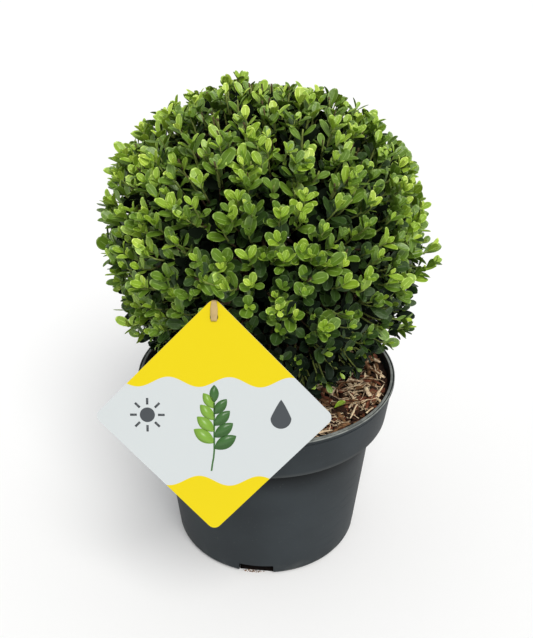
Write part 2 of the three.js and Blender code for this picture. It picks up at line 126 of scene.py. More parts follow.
class Bench:
    """The node bench of one material, with its main shader ready to be wired."""

    def __init__(self, name: str, colour: Colour, roughness: float) -> None:
        """Makes a material.

        Args:
            name: The material's name.
            colour: Its plain base colour.
            roughness: Its plain roughness.
        """
        self.material = bpy.data.materials.new(name)
        self.material.use_nodes = True
        self.tree = self.material.node_tree
        self.shader = self.tree.nodes["Principled BSDF"]
        self.shader.inputs["Base Color"].default_value = (*colour, 1.0)
        self.shader.inputs["Roughness"].default_value = roughness
        self.material.diffuse_color = (*colour, 1.0)

    def node(
        self,
        kind: str,
        settings: dict[str, Any] | None = None,
        inputs: dict[str | int, Any] | None = None,
        output: str | int = 0,
    ) -> Wire:
        """Adds a node.

        Args:
            kind: The node's type.
            settings: Its settings, set first; "stops" are a colour ramp's places and colours.
            inputs: The values or wires of its sockets.
            output: The socket that is handed back.

        Returns:
            That output socket.
        """
        made = self.tree.nodes.new(kind)
        for name, value in (settings or {}).items():
            if name == "stops":
                for spare, (place, colour) in enumerate(value):
                    stops = made.color_ramp.elements
                    stop = stops[spare] if spare < len(stops) else stops.new(place)
                    stop.position = place
                    stop.color = (*colour, 1.0)
            else:
                setattr(made, name, value)
        for name, value in (inputs or {}).items():
            if isinstance(value, Wire):
                self.tree.links.new(value.socket, made.inputs[name])
            else:
                made.inputs[name].default_value = value
        return Wire(self, made.outputs[output])

    def place(self) -> Wire:
        """Object coordinates, in metres of the row frame."""
        return self.node("ShaderNodeTexCoord", output="Object")

    def along(self, axis: str) -> Wire:
        """One coordinate, by its letter."""
        return self.node("ShaderNodeSeparateXYZ", inputs={0: self.place()}, output=axis)

    def noise(self, scale: float, detail: float = 3.0, stretch: Sequence[float] = (1, 1, 1)) -> Wire:
        """Soft noise about 0.5, by its lumps in a metre, its finer layers and its stretch along each axis."""
        where = self.node("ShaderNodeMapping", inputs={"Vector": self.place(), "Scale": stretch})
        return self.node("ShaderNodeTexNoise", inputs={"Vector": where, "Scale": scale, "Detail": detail})

    def mix(self, share: Wire, first: Wire | Colour, second: Wire | Colour) -> Wire:
        """Mixes two colours, by the share of the second."""
        first, second = (colour if isinstance(colour, Wire) else (*colour, 1.0) for colour in (first, second))
        return self.node("ShaderNodeMix", {"data_type": "RGBA"}, {0: share, 6: first, 7: second}, 2)

    def ramp(self, value: Wire, stops: Sequence[tuple[float, Colour]]) -> Wire:
        """A colour ramp over a value, from its stops."""
        return self.node("ShaderNodeValToRGB", {"stops": stops}, {0: value})

    def feed(self, socket: str, wire: Wire) -> None:
        """Wires a value to a socket of the main shader."""
        self.tree.links.new(wire.socket, self.shader.inputs[socket])

    def relief(self, height: Wire, depth: float) -> None:
        """Roughens the surface by a relief from 0 to 1, of a depth in metres."""
        inputs = {"Strength": 1.0, "Distance": depth, "Height": height}
        self.feed("Normal", self.node("ShaderNodeBump", inputs=inputs))


# Finishes


@dataclass(frozen=True)
class Finish:
    """A surface of one colour with a fine relief, which the other finishes add to."""

    name: str
    colour: Colour
    roughness: float = 0.5
    grain: float = 900.0
    depth: float = 0.0001

    def material(self) -> bpy.types.Material:
        """Makes the material and dresses it."""
        self.dress(bench := Bench(self.name, self.colour, self.roughness))
        return bench.material

    def dress(self, bench: Bench) -> None:
        """Adds the fine relief."""
        bench.relief(bench.noise(self.grain), self.depth)

    def shade(self, strength: float) -> Colour:
        """The finish's colour, made lighter or darker."""
        red, green, blue = (min(1.0, part * strength) for part in self.colour)
        return red, green, blue


@dataclass(frozen=True)
class SatinPlastic(Finish):
    """Moulded plastic of the pot: clouded and grained, with dust and wear, painted shade under its collar and
    painted highlight on its lip and along the collar's lower edge.
    """

    gloss: float = 0.1
    step_height: float = 0.1335
    # Painted shade on the body under the collar: where it starts, how far it fades and how dark it gets.
    shade_height: float = 0.130
    shade_fade: float = 0.034
    shade_share: float = 0.95
    # Tone of dust, also used as painted highlight along the collar's lower edge.
    dust: Colour = (0.10, 0.105, 0.10)
    dust_height: float = 0.016
    dust_share: float = 0.7
    speck_share: float = 0.22
    # Painted highlight, with dust, along the collar's lower edge.
    highlight_edge_height: float = 0.0042
    highlight_edge_share: float = 0.28
    # Paler top of the lip: partly wear, partly painted highlight.
    wear_and_highlight: Colour = (0.245, 0.26, 0.242)
    lip_highlight_height: float = 0.1701

    def shaded(self, height: Wire) -> Wire:
        """How much painted shade darkens the body under the collar, from nothing up to the step."""
        # Painted shade: the base colour darkens under the collar, where the collar's shadow falls.
        shade = height.step(self.shade_height - self.shade_fade, self.shade_height) ** 1.3
        return shade * self.shade_share * (1 - height.step(self.step_height, self.step_height + 0.0003))

    def dust_and_edge_highlight(self, bench: Bench, height: Wire) -> Wire:
        """How much of the paler tone it gets: dust near the ground and in specks, and dust with painted
        highlight along the collar's lower edge.

        Args:
            bench: The material's bench.
            height: The height of each place.

        Returns:
            The share of the dust and highlight tone, from 0 to 1.
        """
        low = (1 - height.step(0.0, self.dust_height)) * bench.noise(60.0, 4.0).step(0.42, 0.7)
        specks = bench.noise(420.0, 2.0).step(0.69, 0.74)
        highlight_edge_foot = self.step_height + 0.0004
        # The collar's lower edge: painted highlight together with dust.
        edge = height.step(self.step_height, highlight_edge_foot)
        edge = edge * (1 - height.step(highlight_edge_foot, self.step_height + self.highlight_edge_height))
        return low * self.dust_share + specks * self.speck_share + edge * self.highlight_edge_share

    def dress(self, bench: Bench) -> None:
        """Adds clouds, painted shade under the collar, dust, the lip's wear and painted highlight, painted
        highlight with dust along the collar's lower edge, scuffs and grain.

        Args:
            bench: The material's bench.
        """
        bench.shader.inputs["Specular IOR Level"].default_value = self.gloss
        clouds = bench.noise(14.0, 4.0)
        base = bench.mix(clouds.step(0.35, 0.7), self.shade(0.86), self.shade(1.16))
        height = bench.along("Z")
        # Painted shade under the collar.
        base = bench.mix(self.shaded(height), base, self.shade(0.08))
        # Dust, and painted highlight with dust along the collar's lower edge.
        base = bench.mix(self.dust_and_edge_highlight(bench, height), base, self.dust)
        # The lip's top is paler: partly wear, partly painted highlight.
        lip = height.step(self.lip_highlight_height - 0.0006, self.lip_highlight_height + 0.0004)
        wear_and_highlight = lip * (0.55 + 0.45 * bench.noise(120.0, 4.0).step(0.4, 0.6))
        bench.feed("Base Color", bench.mix(wear_and_highlight, base, self.wear_and_highlight))
        scuffs = bench.noise(36.0, 5.0, (1.0, 1.0, 6.0)).step(0.55, 0.75)
        bench.feed("Roughness", clouds * 0.14 + scuffs * 0.07 + (self.roughness - 0.1))
        bench.relief(bench.noise(self.grain) * 0.7 + bench.noise(90.0) * 0.3, self.depth)


@dataclass(frozen=True)
class Leather(Finish):
    """Leathery face of a leaf in one tint, with a faint gloss."""

    gloss: float = 0.5

    def dress(self, bench: Bench) -> None:
        """Adds the leathery relief and sets how strongly it reflects."""
        bench.shader.inputs["Specular IOR Level"].default_value = self.gloss
        bench.relief(bench.noise(self.grain, 2.0), self.depth)


@dataclass(frozen=True)
class Fibrous(Finish):
    """Bark, wood, soil or rubber: mottled between a darker and a lighter tone, and ridged."""

    dark: float = 0.5
    light: float = 1.5
    mottle: float = 160.0
    stretch: Point = (1.0, 1.0, 0.3)
    gloss: float = 0.2

    def dress(self, bench: Bench) -> None:
        """Adds the mottled tone and the ridges.

        Args:
            bench: The material's bench.
        """
        bench.shader.inputs["Specular IOR Level"].default_value = self.gloss
        tone = bench.noise(self.mottle, 5.0, self.stretch)
        stops = [(0.3, self.shade(self.dark)), (0.52, self.colour), (0.72, self.shade(self.light))]
        bench.feed("Base Color", bench.ramp(tone, stops))
        bench.relief(tone * 0.6 + bench.noise(self.grain, 4.0, self.stretch) * 0.4, self.depth)


@dataclass(frozen=True)
class PrintedCard(Finish):
    """Face of the swing tag: a pale ground between two waves of a bright colour."""

    bright: Colour = (0.665, 0.526, 0.004)
    upper_wave: float = -0.0585
    lower_wave: float = -0.1290
    swing: float = 0.0035
    waves: float = 150.0
    blur: float = 0.00012
    gloss: float = 0.2

    def dress(self, bench: Bench) -> None:
        """Adds the two waves, in the card's own frame, and a faint mottle of its gloss.

        Args:
            bench: The material's bench.
        """
        bench.shader.inputs["Specular IOR Level"].default_value = self.gloss
        inputs = {"Vector": bench.place(), "Location": TAG.corner, "Rotation": TAG.frame.to_euler()}
        local = bench.node("ShaderNodeMapping", {"vector_type": "TEXTURE"}, inputs)
        across = bench.node("ShaderNodeSeparateXYZ", inputs={0: local}, output="X")
        up = bench.node("ShaderNodeSeparateXYZ", inputs={0: local}, output="Y")
        ripple = (across * self.waves).sine() * self.swing
        top = (up - ripple).step(self.upper_wave - self.blur, self.upper_wave + self.blur)
        foot = 1 - (up + ripple).step(self.lower_wave - self.blur, self.lower_wave + self.blur)
        bench.feed("Base Color", bench.mix(top + foot, self.colour, self.bright))
        bench.feed("Roughness", bench.noise(70.0) * 0.1 + (self.roughness - 0.05))


@dataclass(frozen=True)
class Backdrop(Finish):
    """Pale studio floor with the faintest clouding."""

    def dress(self, bench: Bench) -> None:
        """Adds the clouding."""
        clouds = bench.noise(1.5)
        bench.feed("Base Color", bench.mix(clouds, self.shade(0.985), self.colour))


POT_PLASTIC = SatinPlastic("charcoal_plastic", (0.029, 0.035, 0.039), 0.55, 1500.0, 0.00006)
MULCH_EARTH = Fibrous("potting_soil", (0.020, 0.009, 0.005), 0.95, 1200.0, 0.0008, 0.4, 2.2, 500.0, (1, 1, 1))
# Near-black soil in the foot's notches: painted shade.
NOTCH_SHADE_EARTH = Fibrous(
    "damp_soil", (0.0075, 0.0055, 0.0050), 0.95, 1200.0, 0.0006, 0.5, 2.0, 500.0, (1, 1, 1), 0.05
)
CHIP_TAN = Fibrous("tan_wood", (0.84, 0.64, 0.415), 0.85, 1500.0, 0.0003, 0.55, 1.35, 260.0, (1, 1, 1))
CHIP_BROWN = Fibrous("brown_bark", (0.19, 0.098, 0.045), 0.9, 1500.0, 0.0003, 0.4, 1.8, 300.0, (1, 1, 1))
CHIP_RED = Fibrous("red_bark", (0.17, 0.058, 0.030), 0.85, 1500.0, 0.0003, 0.4, 1.9, 300.0, (1, 1, 1))
CHIP_DARK = Fibrous("dark_bark", (0.034, 0.014, 0.008), 0.95, 1500.0, 0.0003, 0.4, 2.0, 300.0, (1, 1, 1))
OLD_BARK = Fibrous("grey_brown_bark", (0.115, 0.075, 0.045), 0.9, 1600.0, 0.0004, 0.45, 1.8, 220.0)
TWIG_BARK = Fibrous("twig_bark", (0.075, 0.048, 0.026), 0.85, 1600.0, 0.0002, 0.5, 1.8, 300.0)
GREEN_STEM = Fibrous("green_stem", (0.215, 0.265, 0.065), 0.6, 1600.0, 0.0001, 0.75, 1.3, 300.0)
CUT_WOOD = Fibrous("clipped_wood", (0.085, 0.060, 0.028), 0.8, 1600.0, 0.0002, 0.5, 2.0, 500.0)
CARD_FACE = PrintedCard("printed_card", (0.525, 0.557, 0.562), 0.33)
CARD_EDGE = Finish("white_card", (0.80, 0.81, 0.81), 0.4, 600.0, 0.00002)
PRINT_GREEN = Finish("print_green", (0.035, 0.115, 0.020), 0.35, 600.0, 0.00001)
PRINT_LIME = Finish("print_lime", (0.170, 0.330, 0.030), 0.35, 600.0, 0.00001)
PRINT_CHARCOAL = Finish("print_charcoal", (0.045, 0.052, 0.058), 0.35, 600.0, 0.00001)
TAN_RUBBER = Fibrous("tan_rubber", (0.445, 0.315, 0.135), 0.6, 900.0, 0.00006, 0.85, 1.1, 180.0, (1, 1, 1))
FLOOR_PAPER = Backdrop("studio_paper", (0.90, 0.90, 0.90), 0.9)
# Paler finish of leaf rims, as painted highlight, and of midribs and stalks.
VEIN_AND_RIM_HIGHLIGHT_GAIN = (1.6, 1.4, 2.4)
VEIN_AND_RIM_HIGHLIGHT_LIFT = (0.085, 0.100, 0.060)


class Tint(Enum):
    """The tints that leaves are dealt: the leaves' own young to mature greens, then darker tints that are
    painted shade deep in the ball and low down, the last for the leaves inside.
    """

    LIME = Leather("leaf_lime", (0.395, 0.540, 0.060), 0.42, 850.0, 0.00026)
    FRESH = Leather("leaf_fresh", (0.245, 0.388, 0.027), 0.40, 850.0, 0.00030)
    MID = Leather("leaf_mid", (0.112, 0.206, 0.016), 0.38, 850.0, 0.00030)
    # DEEP is partly a mature green and partly painted shade; the two tints after it are painted shade.
    DEEP = Leather("leaf_deep", (0.028, 0.062, 0.010), 0.42, 850.0, 0.00026, 0.3)
    OLD = Leather("leaf_old", (0.0050, 0.0120, 0.0042), 0.6, 700.0, 0.00012, 0.1)
    SHADE = Leather("leaf_shade", (0.004, 0.008, 0.003), 0.85, 700.0, 0.00010, 0.1)

    def vein(self) -> Leather:
        """The paler finish of this tint's rim, midrib and stalk: painted highlight on the rim, the own paler
        colour of the midrib and stalk.

        Returns:
            The finish, as glossy as the leaf's face.
        """
        face = self.value
        lift = min(1.0, 3.5 * face.colour[1])
        red, green, blue = (
            gain * part + more * lift for gain, part, more in zip(VEIN_AND_RIM_HIGHLIGHT_GAIN, face.colour, VEIN_AND_RIM_HIGHLIGHT_LIFT)
        )
        return Leather(face.name + "_vein", (red, green, blue), 0.5, 700.0, 0.00008, face.gloss)


# Modelling by hand: selection, edit mode and the few operators that pieces share


def select_only(shape: Shape) -> None:
    """Makes one object the selected and active one.

    Args:
        shape: The object.
    """
    bpy.ops.object.select_all(action="DESELECT")
    shape.hide_set(False)
    shape.select_set(True)
    bpy.context.view_layer.objects.active = shape


@contextmanager
def edit_mode(shape: Shape) -> Iterator[None]:
    """Edit mode on one object, with all of it deselected at the start.

    Args:
        shape: The object.

    Yields:
        Nothing, while the object is in edit mode.
    """
    select_only(shape)
    bpy.ops.object.mode_set(mode="EDIT")
    bpy.ops.mesh.select_all(action="DESELECT")
    yield
    bpy.ops.object.mode_set(mode="OBJECT")


def pick(shape: Shape, kind: str, test: Callable[[Any], bool]) -> None:
    """Selects part of a mesh in edit mode, and nothing else.

    Args:
        shape: The object in edit mode.
        kind: "VERT", "EDGE" or "FACE".
        test: Says of a vertex, edge or face whether it is wanted.
    """
    bpy.ops.mesh.select_all(action="DESELECT")
    bpy.ops.mesh.select_mode(type=kind)
    grid = bmesh.from_edit_mesh(shape.data)
    for item in {"VERT": grid.verts, "EDGE": grid.edges, "FACE": grid.faces}[kind]:
        if test(item):
            item.select_set(True)
    grid.select_flush_mode()
    bmesh.update_edit_mesh(shape.data)


def added(operator: Callable[..., set[str]], name: str, **settings: Any) -> Shape:
    """Adds a primitive, with everything deselected first.

    Args:
        operator: The primitive's operator.
        name: The piece's name.
        settings: The operator's settings; the location is the origin where none is given.

    Returns:
        The new object, the only one selected.
    """
    bpy.ops.object.select_all(action="DESELECT")
    operator(**{"location": (0, 0, 0), **settings})
    shape = bpy.context.active_object
    shape.name = shape.data.name = name
    return shape


def new_object(name: str, data: bpy.types.ID) -> Shape:
    """Puts a mesh, curve, light or camera into the scene, at the origin."""
    bpy.context.scene.collection.objects.link(shape := bpy.data.objects.new(name, data))
    return shape


def pick_row(shape: Shape, axis: int, place: float, test: Callable = lambda corner: True) -> None:
    """Selects the corners that stand at a place along an axis and pass a test, in edit mode."""
    pick(shape, "VERT", lambda corner: abs(corner.co[axis] - place) < 0.01 and test(corner))


def pick_all() -> None:
    """Selects the whole mesh, in edit mode."""
    bpy.ops.mesh.select_all(action="SELECT")


def face_outwards(doubles: float = 0.0) -> None:
    """Merges corners that lie together, and turns all faces outwards, in edit mode.

    Args:
        doubles: How close corners are merged, and none at 0.
    """
    pick_all()
    if doubles:
        bpy.ops.mesh.remove_doubles(threshold=doubles)
    bpy.ops.mesh.normals_make_consistent(inside=False)


def apply(shape: Shape, kind: str, **settings: Any) -> None:
    """Adds a modifier and applies it.

    Args:
        shape: The object.
        kind: The modifier's type.
        settings: Its settings by name.
    """
    select_only(shape)
    modifier = shape.modifiers.new(kind.lower(), kind)
    for name, value in settings.items():
        setattr(modifier, name, value)
    bpy.ops.object.modifier_apply(modifier=modifier.name)


def put(shape: Shape, place: Matrix) -> None:
    """Moves an object's mesh to its place, and leaves the object at the origin."""
    shape.data.transform(place @ shape.matrix_basis)
    shape.matrix_basis = Matrix.Identity(4)


def disc(name: str, corners: int, radius: float, middle: Sequence[float], **settings: Any) -> Shape:
    """Adds a filled circle, with its place in its mesh.

    Args:
        name: The piece's name.
        corners: How many corners it has.
        radius: Its radius.
        middle: Its middle.
        settings: Other settings of the operator.

    Returns:
        The disc, level where no turn is given.
    """
    rim = {"vertices": corners, "radius": radius, "location": middle, "fill_type": "NGON", **settings}
    shape = added(bpy.ops.mesh.primitive_circle_add, name, **rim)
    put(shape, Matrix.Identity(4))
    return shape


def smooth(shape: Shape, degrees: float) -> None:
    """Shades an object smoothly across edges up to an angle."""
    select_only(shape)
    bpy.ops.object.shade_smooth_by_angle(angle=math.radians(degrees))


def turned(name: str, outline: Outline, steps: int) -> Shape:
    """Draws an outline by extruding a corner from point to point, and spins it round Z.

    Args:
        name: The piece's name.
        outline: Radius and height of each point, in metres, from axis to axis.
        steps: How many sides the piece has.

    Returns:
        The closed piece, with its faces outwards.
    """
    (radius, height), *others = outline
    shape = added(bpy.ops.mesh.primitive_plane_add, name, size=0.001)
    bpy.ops.object.mode_set(mode="EDIT")
    bpy.ops.mesh.merge(type="CENTER")
    bpy.ops.transform.translate(value=(radius, 0, height))
    for next_radius, next_height in others:
        move = {"value": (next_radius - radius, 0, next_height - height)}
        bpy.ops.mesh.extrude_vertices_move(TRANSFORM_OT_translate=move)
        radius, height = next_radius, next_height
    pick_all()
    bpy.ops.mesh.spin(steps=steps, angle=math.tau, center=(0, 0, 0), axis=(0, 0, 1))
    face_outwards(doubles=0.00001)
    bpy.ops.object.mode_set(mode="OBJECT")
    return shape


def rounded(middle: Pair, radius: float, start: float, end: float, steps: int) -> Outline:
    """Points of an arc of an outline, by its middle, radius, first and last angle in degrees, and steps."""
    angles = [math.radians(start + (end - start) * step / steps) for step in range(steps + 1)]
    return [(middle[0] + radius * math.cos(a), middle[1] + radius * math.sin(a)) for a in angles]


# Joined meshes: many small things, each a modelled blank stamped into place


@dataclass
class Facets:
    """A mesh as arrays: points, the corners of its faces, and each face's corner count and slot."""

    points: Array
    corners: Array
    counts: Array
    slots: Array

    @classmethod
    def taken(cls, shape: Shape) -> "Facets":
        """Reads a modelled blank into arrays and removes the object.

        Args:
            shape: The blank.

        Returns:
            Its faces.
        """
        mesh = shape.data
        points = np.empty(len(mesh.vertices) * 3)
        corners = np.empty(len(mesh.loops), np.int32)
        counts = np.empty(len(mesh.polygons), np.int32)
        slots = np.empty(len(mesh.polygons), np.int32)
        mesh.vertices.foreach_get("co", points)
        mesh.loops.foreach_get("vertex_index", corners)
        mesh.polygons.foreach_get("loop_total", counts)
        mesh.polygons.foreach_get("material_index", slots)
        bpy.data.objects.remove(shape)
        return cls(points.reshape(-1, 3), corners, counts, slots)

    @property
    def triangles(self) -> int:
        """How many triangles the faces make."""
        return int((self.counts - 2).sum())

    def stamped(self, frames: Array, places: Array) -> "Facets":
        """Copies of this blank.

        Args:
            frames: One 3 by 3 matrix a copy, whose columns are its own axes.
            places: One point a copy, where its origin goes.

        Returns:
            All the copies as one mesh.
        """
        many = len(places)
        points = np.einsum("nij,vj->nvi", frames, self.points) + places[:, None, :]
        shift = np.arange(many)[:, None] * len(self.points)
        corners = (self.corners[None, :] + shift).ravel()
        points = points.reshape(-1, 3)
        return Facets(points, corners, np.tile(self.counts, many), np.tile(self.slots, many))

    def placed(self, name: str, finishes: Sequence[bpy.types.Material]) -> Shape:
        """Makes the object.

        Args:
            name: The piece's name.
            finishes: The material of each slot.

        Returns:
            The object, smoothly shaded.
        """
        mesh = bpy.data.meshes.new(name)
        mesh.vertices.add(len(self.points))
        mesh.vertices.foreach_set("co", self.points.astype(np.float32).ravel())
        mesh.loops.add(len(self.corners))
        mesh.loops.foreach_set("vertex_index", self.corners.astype(np.int32))
        mesh.polygons.add(len(self.counts))
        starts = np.concatenate([[0], np.cumsum(self.counts)[:-1]])
        mesh.polygons.foreach_set("loop_start", starts.astype(np.int32))
        mesh.polygons.foreach_set("material_index", self.slots.astype(np.int32))
        mesh.polygons.foreach_set("use_smooth", np.ones(len(self.counts), bool))
        mesh.update(calc_edges=True)
        mesh.validate()
        for finish in finishes:
            mesh.materials.append(finish)
        return new_object(name, mesh)


def gathered(heaps: Sequence[Facets]) -> Facets:
    """Several heaps of faces as one.

    Args:
        heaps: The heaps.

    Returns:
        One heap, with their faces in the same order.
    """
    shift, corners = 0, []
    for heap in heaps:
        corners.append(heap.corners + shift)
        shift += len(heap.points)
    return Facets(
        np.concatenate([heap.points for heap in heaps]),
        np.concatenate(corners),
        np.concatenate([heap.counts for heap in heaps]),
        np.concatenate([heap.slots for heap in heaps]),
    )


def tubes(paths: Array, radii: Array, sides: int) -> Facets:
    """Round stems along paths, with closed ends.

    Args:
        paths: The points of each stem, as stems by stations by 3.
        radii: The radius at each station, as stems by stations.
        sides: How many sides a stem has.

    Returns:
        All the stems as one mesh.
    """
    many, stations, _ = paths.shape
    ahead = unit(np.gradient(paths, axis=1))
    across, beside = square_to(ahead)
    angles = np.arange(sides) * math.tau / sides
    ring = (
        across[:, :, None, :] * np.cos(angles)[None, None, :, None]
        + beside[:, :, None, :] * np.sin(angles)[None, None, :, None]
    )
    points = paths[:, :, None, :] + ring * radii[:, :, None, None]
    around = np.arange(sides)
    following = (around + 1) % sides
    rows = np.arange(stations - 1)[:, None] * sides
    quads = np.stack(
        [rows + around, rows + following, rows + sides + following, rows + sides + around], axis=-1
    ).reshape(-1)
    foot, tip = around[::-1], around + (stations - 1) * sides
    one = Facets(
        np.zeros((stations * sides, 3)),
        np.concatenate([quads, foot, tip]),
        np.array([4] * ((stations - 1) * sides) + [sides, sides]),
        np.zeros((stations - 1) * sides + 2, int),
    )
    copies = one.stamped(np.zeros((many, 3, 3)), np.zeros((many, 3)))
    copies.points = points.reshape(-1, 3)
    return copies


def unit(vectors: Array) -> Array:
    """Vectors at length 1."""
    return vectors / np.maximum(np.linalg.norm(vectors, axis=-1, keepdims=True), 1e-12)


def squared(ways: Array, along: Array) -> Array:
    """Directions made square to others."""
    return unit(ways - (ways * along).sum(-1, keepdims=True) * along)


def graded(first: float, last: float, stations: int, many: int) -> Array:
    """Values from first to last at even steps, the same in each of many rows."""
    return np.linspace(first, last, stations)[None, :].repeat(many, axis=0)


def square_to(ahead: Array) -> tuple[Array, Array]:
    """Two directions square to each given one, and to each other."""
    across = unit(np.cross(ahead, np.where(np.abs(ahead[..., 2:3]) < 0.9, UP, np.array([1.0, 0.0, 0.0]))))
    return across, np.cross(ahead, across)


def heading(turn: float, height: float) -> Array:
    """The direction at a turn round +Z from +X and a height above the level, in degrees."""
    around, up = math.radians(turn), math.radians(height)
    return np.array([math.cos(up) * math.cos(around), math.cos(up) * math.sin(around), math.sin(up)])


class Dresser:
    """Finishes pieces: gives each its material and body, and reports it."""

    def __init__(self) -> None:
        """Starts with no materials made."""
        self.made: dict[str, bpy.types.Material] = {}

    def material(self, finish: Finish) -> bpy.types.Material:
        """The material of a finish, made once."""
        self.made[finish.name] = self.made.get(finish.name) or finish.material()
        return self.made[finish.name]

    def hand_over(
        self, shape: Shape, slot: Slot, finish: Finish | None = None, node: str | None = None
    ) -> None:
        """Hands a finished piece to the frame.

        Args:
            shape: The piece.
            slot: Not used.
            finish: Its material, where it has none yet.
            node: The CAD node that it stands for, if any.
        """
        if finish is not None:
            shape.data.materials.append(self.material(finish))
        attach(shape, BODY)
        if node is not None:
            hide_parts(node)
        log.info("%s: %d faces", shape.name, len(shape.data.polygons))

    def hand_over_heap(
        self, name: str, heap: Facets, slot: Slot, finishes: Sequence[Finish], node: str | None = None
    ) -> None:
        """Makes a piece of a heap of faces, with a finish for each of its own slots, and hands it over."""
        shape = heap.placed(name, [self.material(finish) for finish in finishes])
        self.hand_over(shape, slot, node=node)


@dataclass
class Assembly:
    """A sub-assembly, with the dresser that its pieces go through."""

    dresser: Dresser


# Pot


@dataclass
class Pot(Assembly):
    """Round nursery pot: grooved lip, deep collar, undercut step, tapering body and notched foot."""

    height: float = 0.171
    rim_radius: float = 0.115
    lip_height: float = 0.0032
    lip_out: float = 0.0016
    lip_bead: float = 0.0005
    lip_undercut: Outline = ((0.0002, 0.0030), (0.0009, 0.0022), (0.0009, 0.0004))
    lip_groove: Outline = (
        (0.0008, 0.0003), (0.0009, 0.0017), (0.0017, 0.0017), (0.0018, 0.0003), (0.0020, 0.0)
    )
    collar_foot_height: float = 0.1338
    collar_foot_radius: float = 0.1096
    body_top_radius: float = 0.0985
    body_foot_radius: float = 0.0862
    heel_radius: float = 0.006
    wall: float = 0.002
    floor: float = 0.0138
    floor_curve: float = 0.003
    sides: int = 144
    notch_count: int = 4
    notch_width: float = 0.0315
    notch_height: float = 0.0116
    notch_depth: float = 0.014
    front_notch_turn: float = -6.4
    drain_count: int = 8
    drain_ring: float = 0.052
    drain_radius: float = 0.0045
    drain_depth: float = 0.004

    @property
    def mouth_radius(self) -> float:
        """The inside of the lip."""
        return self.rim_radius - self.lip_out - self.wall

    def inside(self) -> Outline:
        """The inside from its floor to under its lip.

        Returns:
            Radius and height of each point, from the floor up.
        """
        foot = self.body_foot_radius - self.wall
        return [
            (foot - self.floor_curve, self.floor),
            (foot, self.floor + self.floor_curve),
            (self.body_top_radius - self.wall, self.collar_foot_height),
            (self.collar_foot_radius - self.wall, self.collar_foot_height + self.wall),
            (self.mouth_radius, self.height - self.lip_height),
        ]

    def outside(self) -> Outline:
        """The outside from the middle of the underside to the lip's inner edge.

        Returns:
            Radius and height of each point.
        """
        flat = self.body_foot_radius - self.heel_radius
        step = self.collar_foot_height
        bead, lip_foot = self.lip_bead, self.height - self.lip_height
        return [
            (0.0, 0.0),
            (flat - 0.004, 0.0),
            *rounded((flat, self.heel_radius), self.heel_radius, -90, 0, 8),
            (self.body_top_radius - 0.0004, step - self.wall - 0.004),
            (self.body_top_radius, step - self.wall),
            (self.body_top_radius + 0.0015, step - 0.0012),
            *rounded((self.collar_foot_radius - 0.0008, step), 0.0008, -90, 0, 3),
            *((self.rim_radius - self.lip_out - x, lip_foot - z) for x, z in self.lip_undercut),
            *rounded((self.rim_radius - bead, lip_foot + bead), bead, -80, 0, 3),
            *rounded((self.rim_radius - bead, self.height - bead), bead, 0, 90, 4),
            *((self.rim_radius - x, self.height - z) for x, z in self.lip_groove),
            *rounded((self.mouth_radius + 0.0003, self.height - 0.0006), 0.0006, 90, 180, 4),
        ]

    def cutter(self) -> Shape:
        """The blocks and pegs that cut the notches in the foot and the drain holes under it.

        Returns:
            Blocks and pegs as one object.
        """
        pieces = []
        for i in range(self.notch_count):
            turn = math.radians(self.front_notch_turn + i * 360 / self.notch_count)
            block = added(bpy.ops.mesh.primitive_cube_add, f"notch_{i}", size=1)
            size = (self.notch_width, 2 * self.notch_depth, 2 * self.notch_height)
            put(block, Matrix.Translation((0, -self.body_foot_radius, 0)) @ Matrix.Diagonal((*size, 1)))
            put(block, Matrix.Rotation(turn, 4, "Z"))
            apply(block, "BEVEL", width=0.0012, segments=3)
            pieces.append(block)
        for i in range(self.drain_count):
            turn = i * math.tau / self.drain_count
            where = (self.drain_ring * math.cos(turn), self.drain_ring * math.sin(turn), 0)
            peg = {"vertices": 24, "radius": self.drain_radius, "depth": 2 * self.drain_depth}
            pieces.append(added(bpy.ops.mesh.primitive_cylinder_add, f"drain_{i}", location=where, **peg))
        bpy.ops.object.select_all(action="DESELECT")
        for piece in pieces:
            piece.select_set(True)
        bpy.context.view_layer.objects.active = pieces[0]
        bpy.ops.object.join()
        return pieces[0]

    def build(self) -> None:
        """Models the pot and hands it over."""
        outline = [*self.outside(), *reversed(self.inside()), (0.0, self.floor)]
        shape = turned("pot_shell", outline, self.sides)
        cutter = self.cutter()
        apply(shape, "BOOLEAN", operation="DIFFERENCE", solver="EXACT", object=cutter)
        bpy.data.objects.remove(cutter)
        smooth(shape, 32)
        self.dresser.hand_over(shape, Slot.POT, POT_PLASTIC, "pot")


# Mulch


